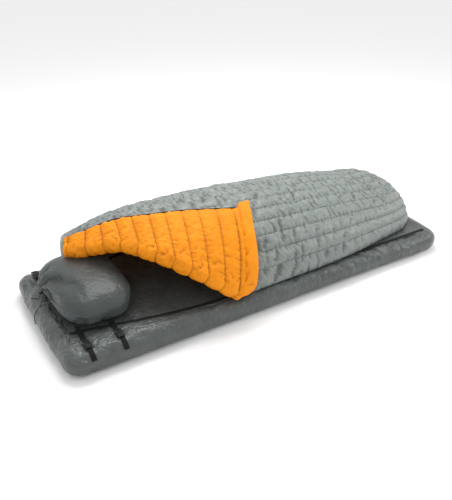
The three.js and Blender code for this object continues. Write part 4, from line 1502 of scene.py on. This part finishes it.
for place in ("near_head", "near_foot", "far_head", "far_foot"):
    moulding(f"{place}_strap_buckle_female", "bed")
    moulding(f"{place}_strap_buckle_male", f"{place}_strap_clip")
moulding("cord_lock_barrel", "bed")
moulding("cord_lock_plunger", "lock_plunger", 0.0003)
left = [n for n, o in frame["nodes"].items() if not o.hide_render]
print("CAD nodes still showing:", left)

# %% [markdown]
# ## Stitches
#
# A row of stitches is one small shape repeated along a line, which is what Geometry Nodes are for.
# The group resamples each seam line to one point per stitch, turns every instance along the line,
# gives it a slightly uneven length, makes the instances real and sets their material. The result
# is evaluated once and becomes a plain mesh, because later steps need real faces.

# %% The stitch group
def stitch_shape():
    """One stitch: a thread bent into the cloth at both ends, 3.4 mm long."""
    rings = []
    for share in (-1.0, -0.7, 0.0, 0.7, 1.0):
        drop = -0.0007 * share ** 4
        thick = 0.00034 * (1 - 0.45 * abs(share) ** 3)
        turns = np.linspace(0, 2 * math.pi, 5, endpoint=False)
        rings.append([(0.0017 * share, thick * math.cos(t), drop + thick * math.sin(t)) for t in turns])
    rings = np.array(rings)
    piece = piece_from("stitch_shape", rings.reshape(-1, 3), tube_faces(5, 5), [])
    turn_out(piece)
    piece.hide_render = True
    return piece


def stitch_group(shape_piece):
    group = bpy.data.node_groups.new("stitch_rows", "GeometryNodeTree")
    face = group.interface
    face.new_socket("Seams", in_out="INPUT", socket_type="NodeSocketGeometry")
    pitch = face.new_socket("Pitch", in_out="INPUT", socket_type="NodeSocketFloat")
    thread = face.new_socket("Thread", in_out="INPUT", socket_type="NodeSocketMaterial")
    face.new_socket("Stitches", in_out="OUTPUT", socket_type="NodeSocketGeometry")
    n = group.nodes
    start = n.new("NodeGroupInput")
    end = n.new("NodeGroupOutput")
    curve = n.new("GeometryNodeMeshToCurve")
    points = n.new("GeometryNodeCurveToPoints")
    points.mode = "LENGTH"
    shape_info = n.new("GeometryNodeObjectInfo")
    shape_info.inputs["Object"].default_value = shape_piece
    uneven = n.new("FunctionNodeRandomValue")
    uneven.data_type = "FLOAT"
    uneven.inputs["Min"].default_value = 0.85
    uneven.inputs["Max"].default_value = 1.1
    uneven.inputs["Seed"].default_value = 4
    place = n.new("GeometryNodeInstanceOnPoints")
    real = n.new("GeometryNodeRealizeInstances")
    paint = n.new("GeometryNodeSetMaterial")
    turn = n.new("FunctionNodeAlignRotationToVector")
    turn.axis = "X"
    turn.inputs["Rotation"].default_value = (0, 0, 0)
    link = group.links.new
    link(start.outputs["Seams"], curve.inputs["Mesh"])
    link(curve.outputs["Curve"], points.inputs["Curve"])
    link(start.outputs["Pitch"], points.inputs["Length"])
    link(points.outputs["Points"], place.inputs["Points"])
    link(points.outputs["Tangent"], turn.inputs["Vector"])
    link(turn.outputs["Rotation"], place.inputs["Rotation"])
    link(shape_info.outputs["Geometry"], place.inputs["Instance"])
    link(uneven.outputs[1], place.inputs["Scale"])
    link(place.outputs["Instances"], real.inputs["Geometry"])
    link(real.outputs["Geometry"], paint.inputs["Geometry"])
    link(start.outputs["Thread"], paint.inputs["Material"])
    link(paint.outputs["Geometry"], end.inputs["Stitches"])
    return group, pitch.identifier, thread.identifier


def stitch_rows(name, lines, thread_material, pitch=0.0044):
    """lines is a list of point rows. Returns one plain mesh with a stitch every pitch metres."""
    points = []
    edges = []
    for line in lines:
        first = len(points)
        points += [tuple(p) for p in line]
        edges += [(first + k, first + k + 1) for k in range(len(line) - 1)]
    mesh = bpy.data.meshes.new(name)
    mesh.from_pydata(points, edges, [])
    mesh.materials.append(thread_material)
    rows = bpy.data.objects.new(name, mesh)
    scene.collection.objects.link(rows)
    step = rows.modifiers.new("stitches", "NODES")
    step.node_group = stitches
    step[pitch_socket] = pitch
    step[thread_socket] = thread_material
    rows.data.update()
    settle(rows)
    rows.data.polygons.foreach_set("use_smooth", [True] * len(rows.data.polygons))
    print(name, "has", len(rows.data.polygons), "faces")
    return rows


stitch = stitch_shape()
stitches, pitch_socket, thread_socket = stitch_group(stitch)

# %% Stitches along the channels and across the flap
channel_lines = []
for row in range(rows_each, len(row_run) - 1, rows_each):
    line = shell_points[1:-1, row] + normals[1:-1, row] * 0.0005
    channel_lines.append(line)
channel_stitches = stitch_rows("channel_stitches", channel_lines, grey_thread)
wear(channel_stitches, "bed", "quilt_shell_fabric")

flap_lines = []
for column in np.nonzero(sewn_column)[0]:
    line = flap_upper[column, 4:-3]
    rise_way = np.cross(np.gradient(line, axis=0), flap_upper[min(column + 1, len(flap_a) - 1), 4:-3] - line)
    rise_way /= np.linalg.norm(rise_way, axis=1, keepdims=True)
    rise_way *= np.where(rise_way[:, 2:] < 0, -1, 1)
    flap_lines.append(line + rise_way * 0.0005)
flap_stitches = stitch_rows("flap_stitches", flap_lines, orange_thread)
bends_with_flap(flap_stitches, "lining_fabric")
bpy.data.objects.remove(stitch)
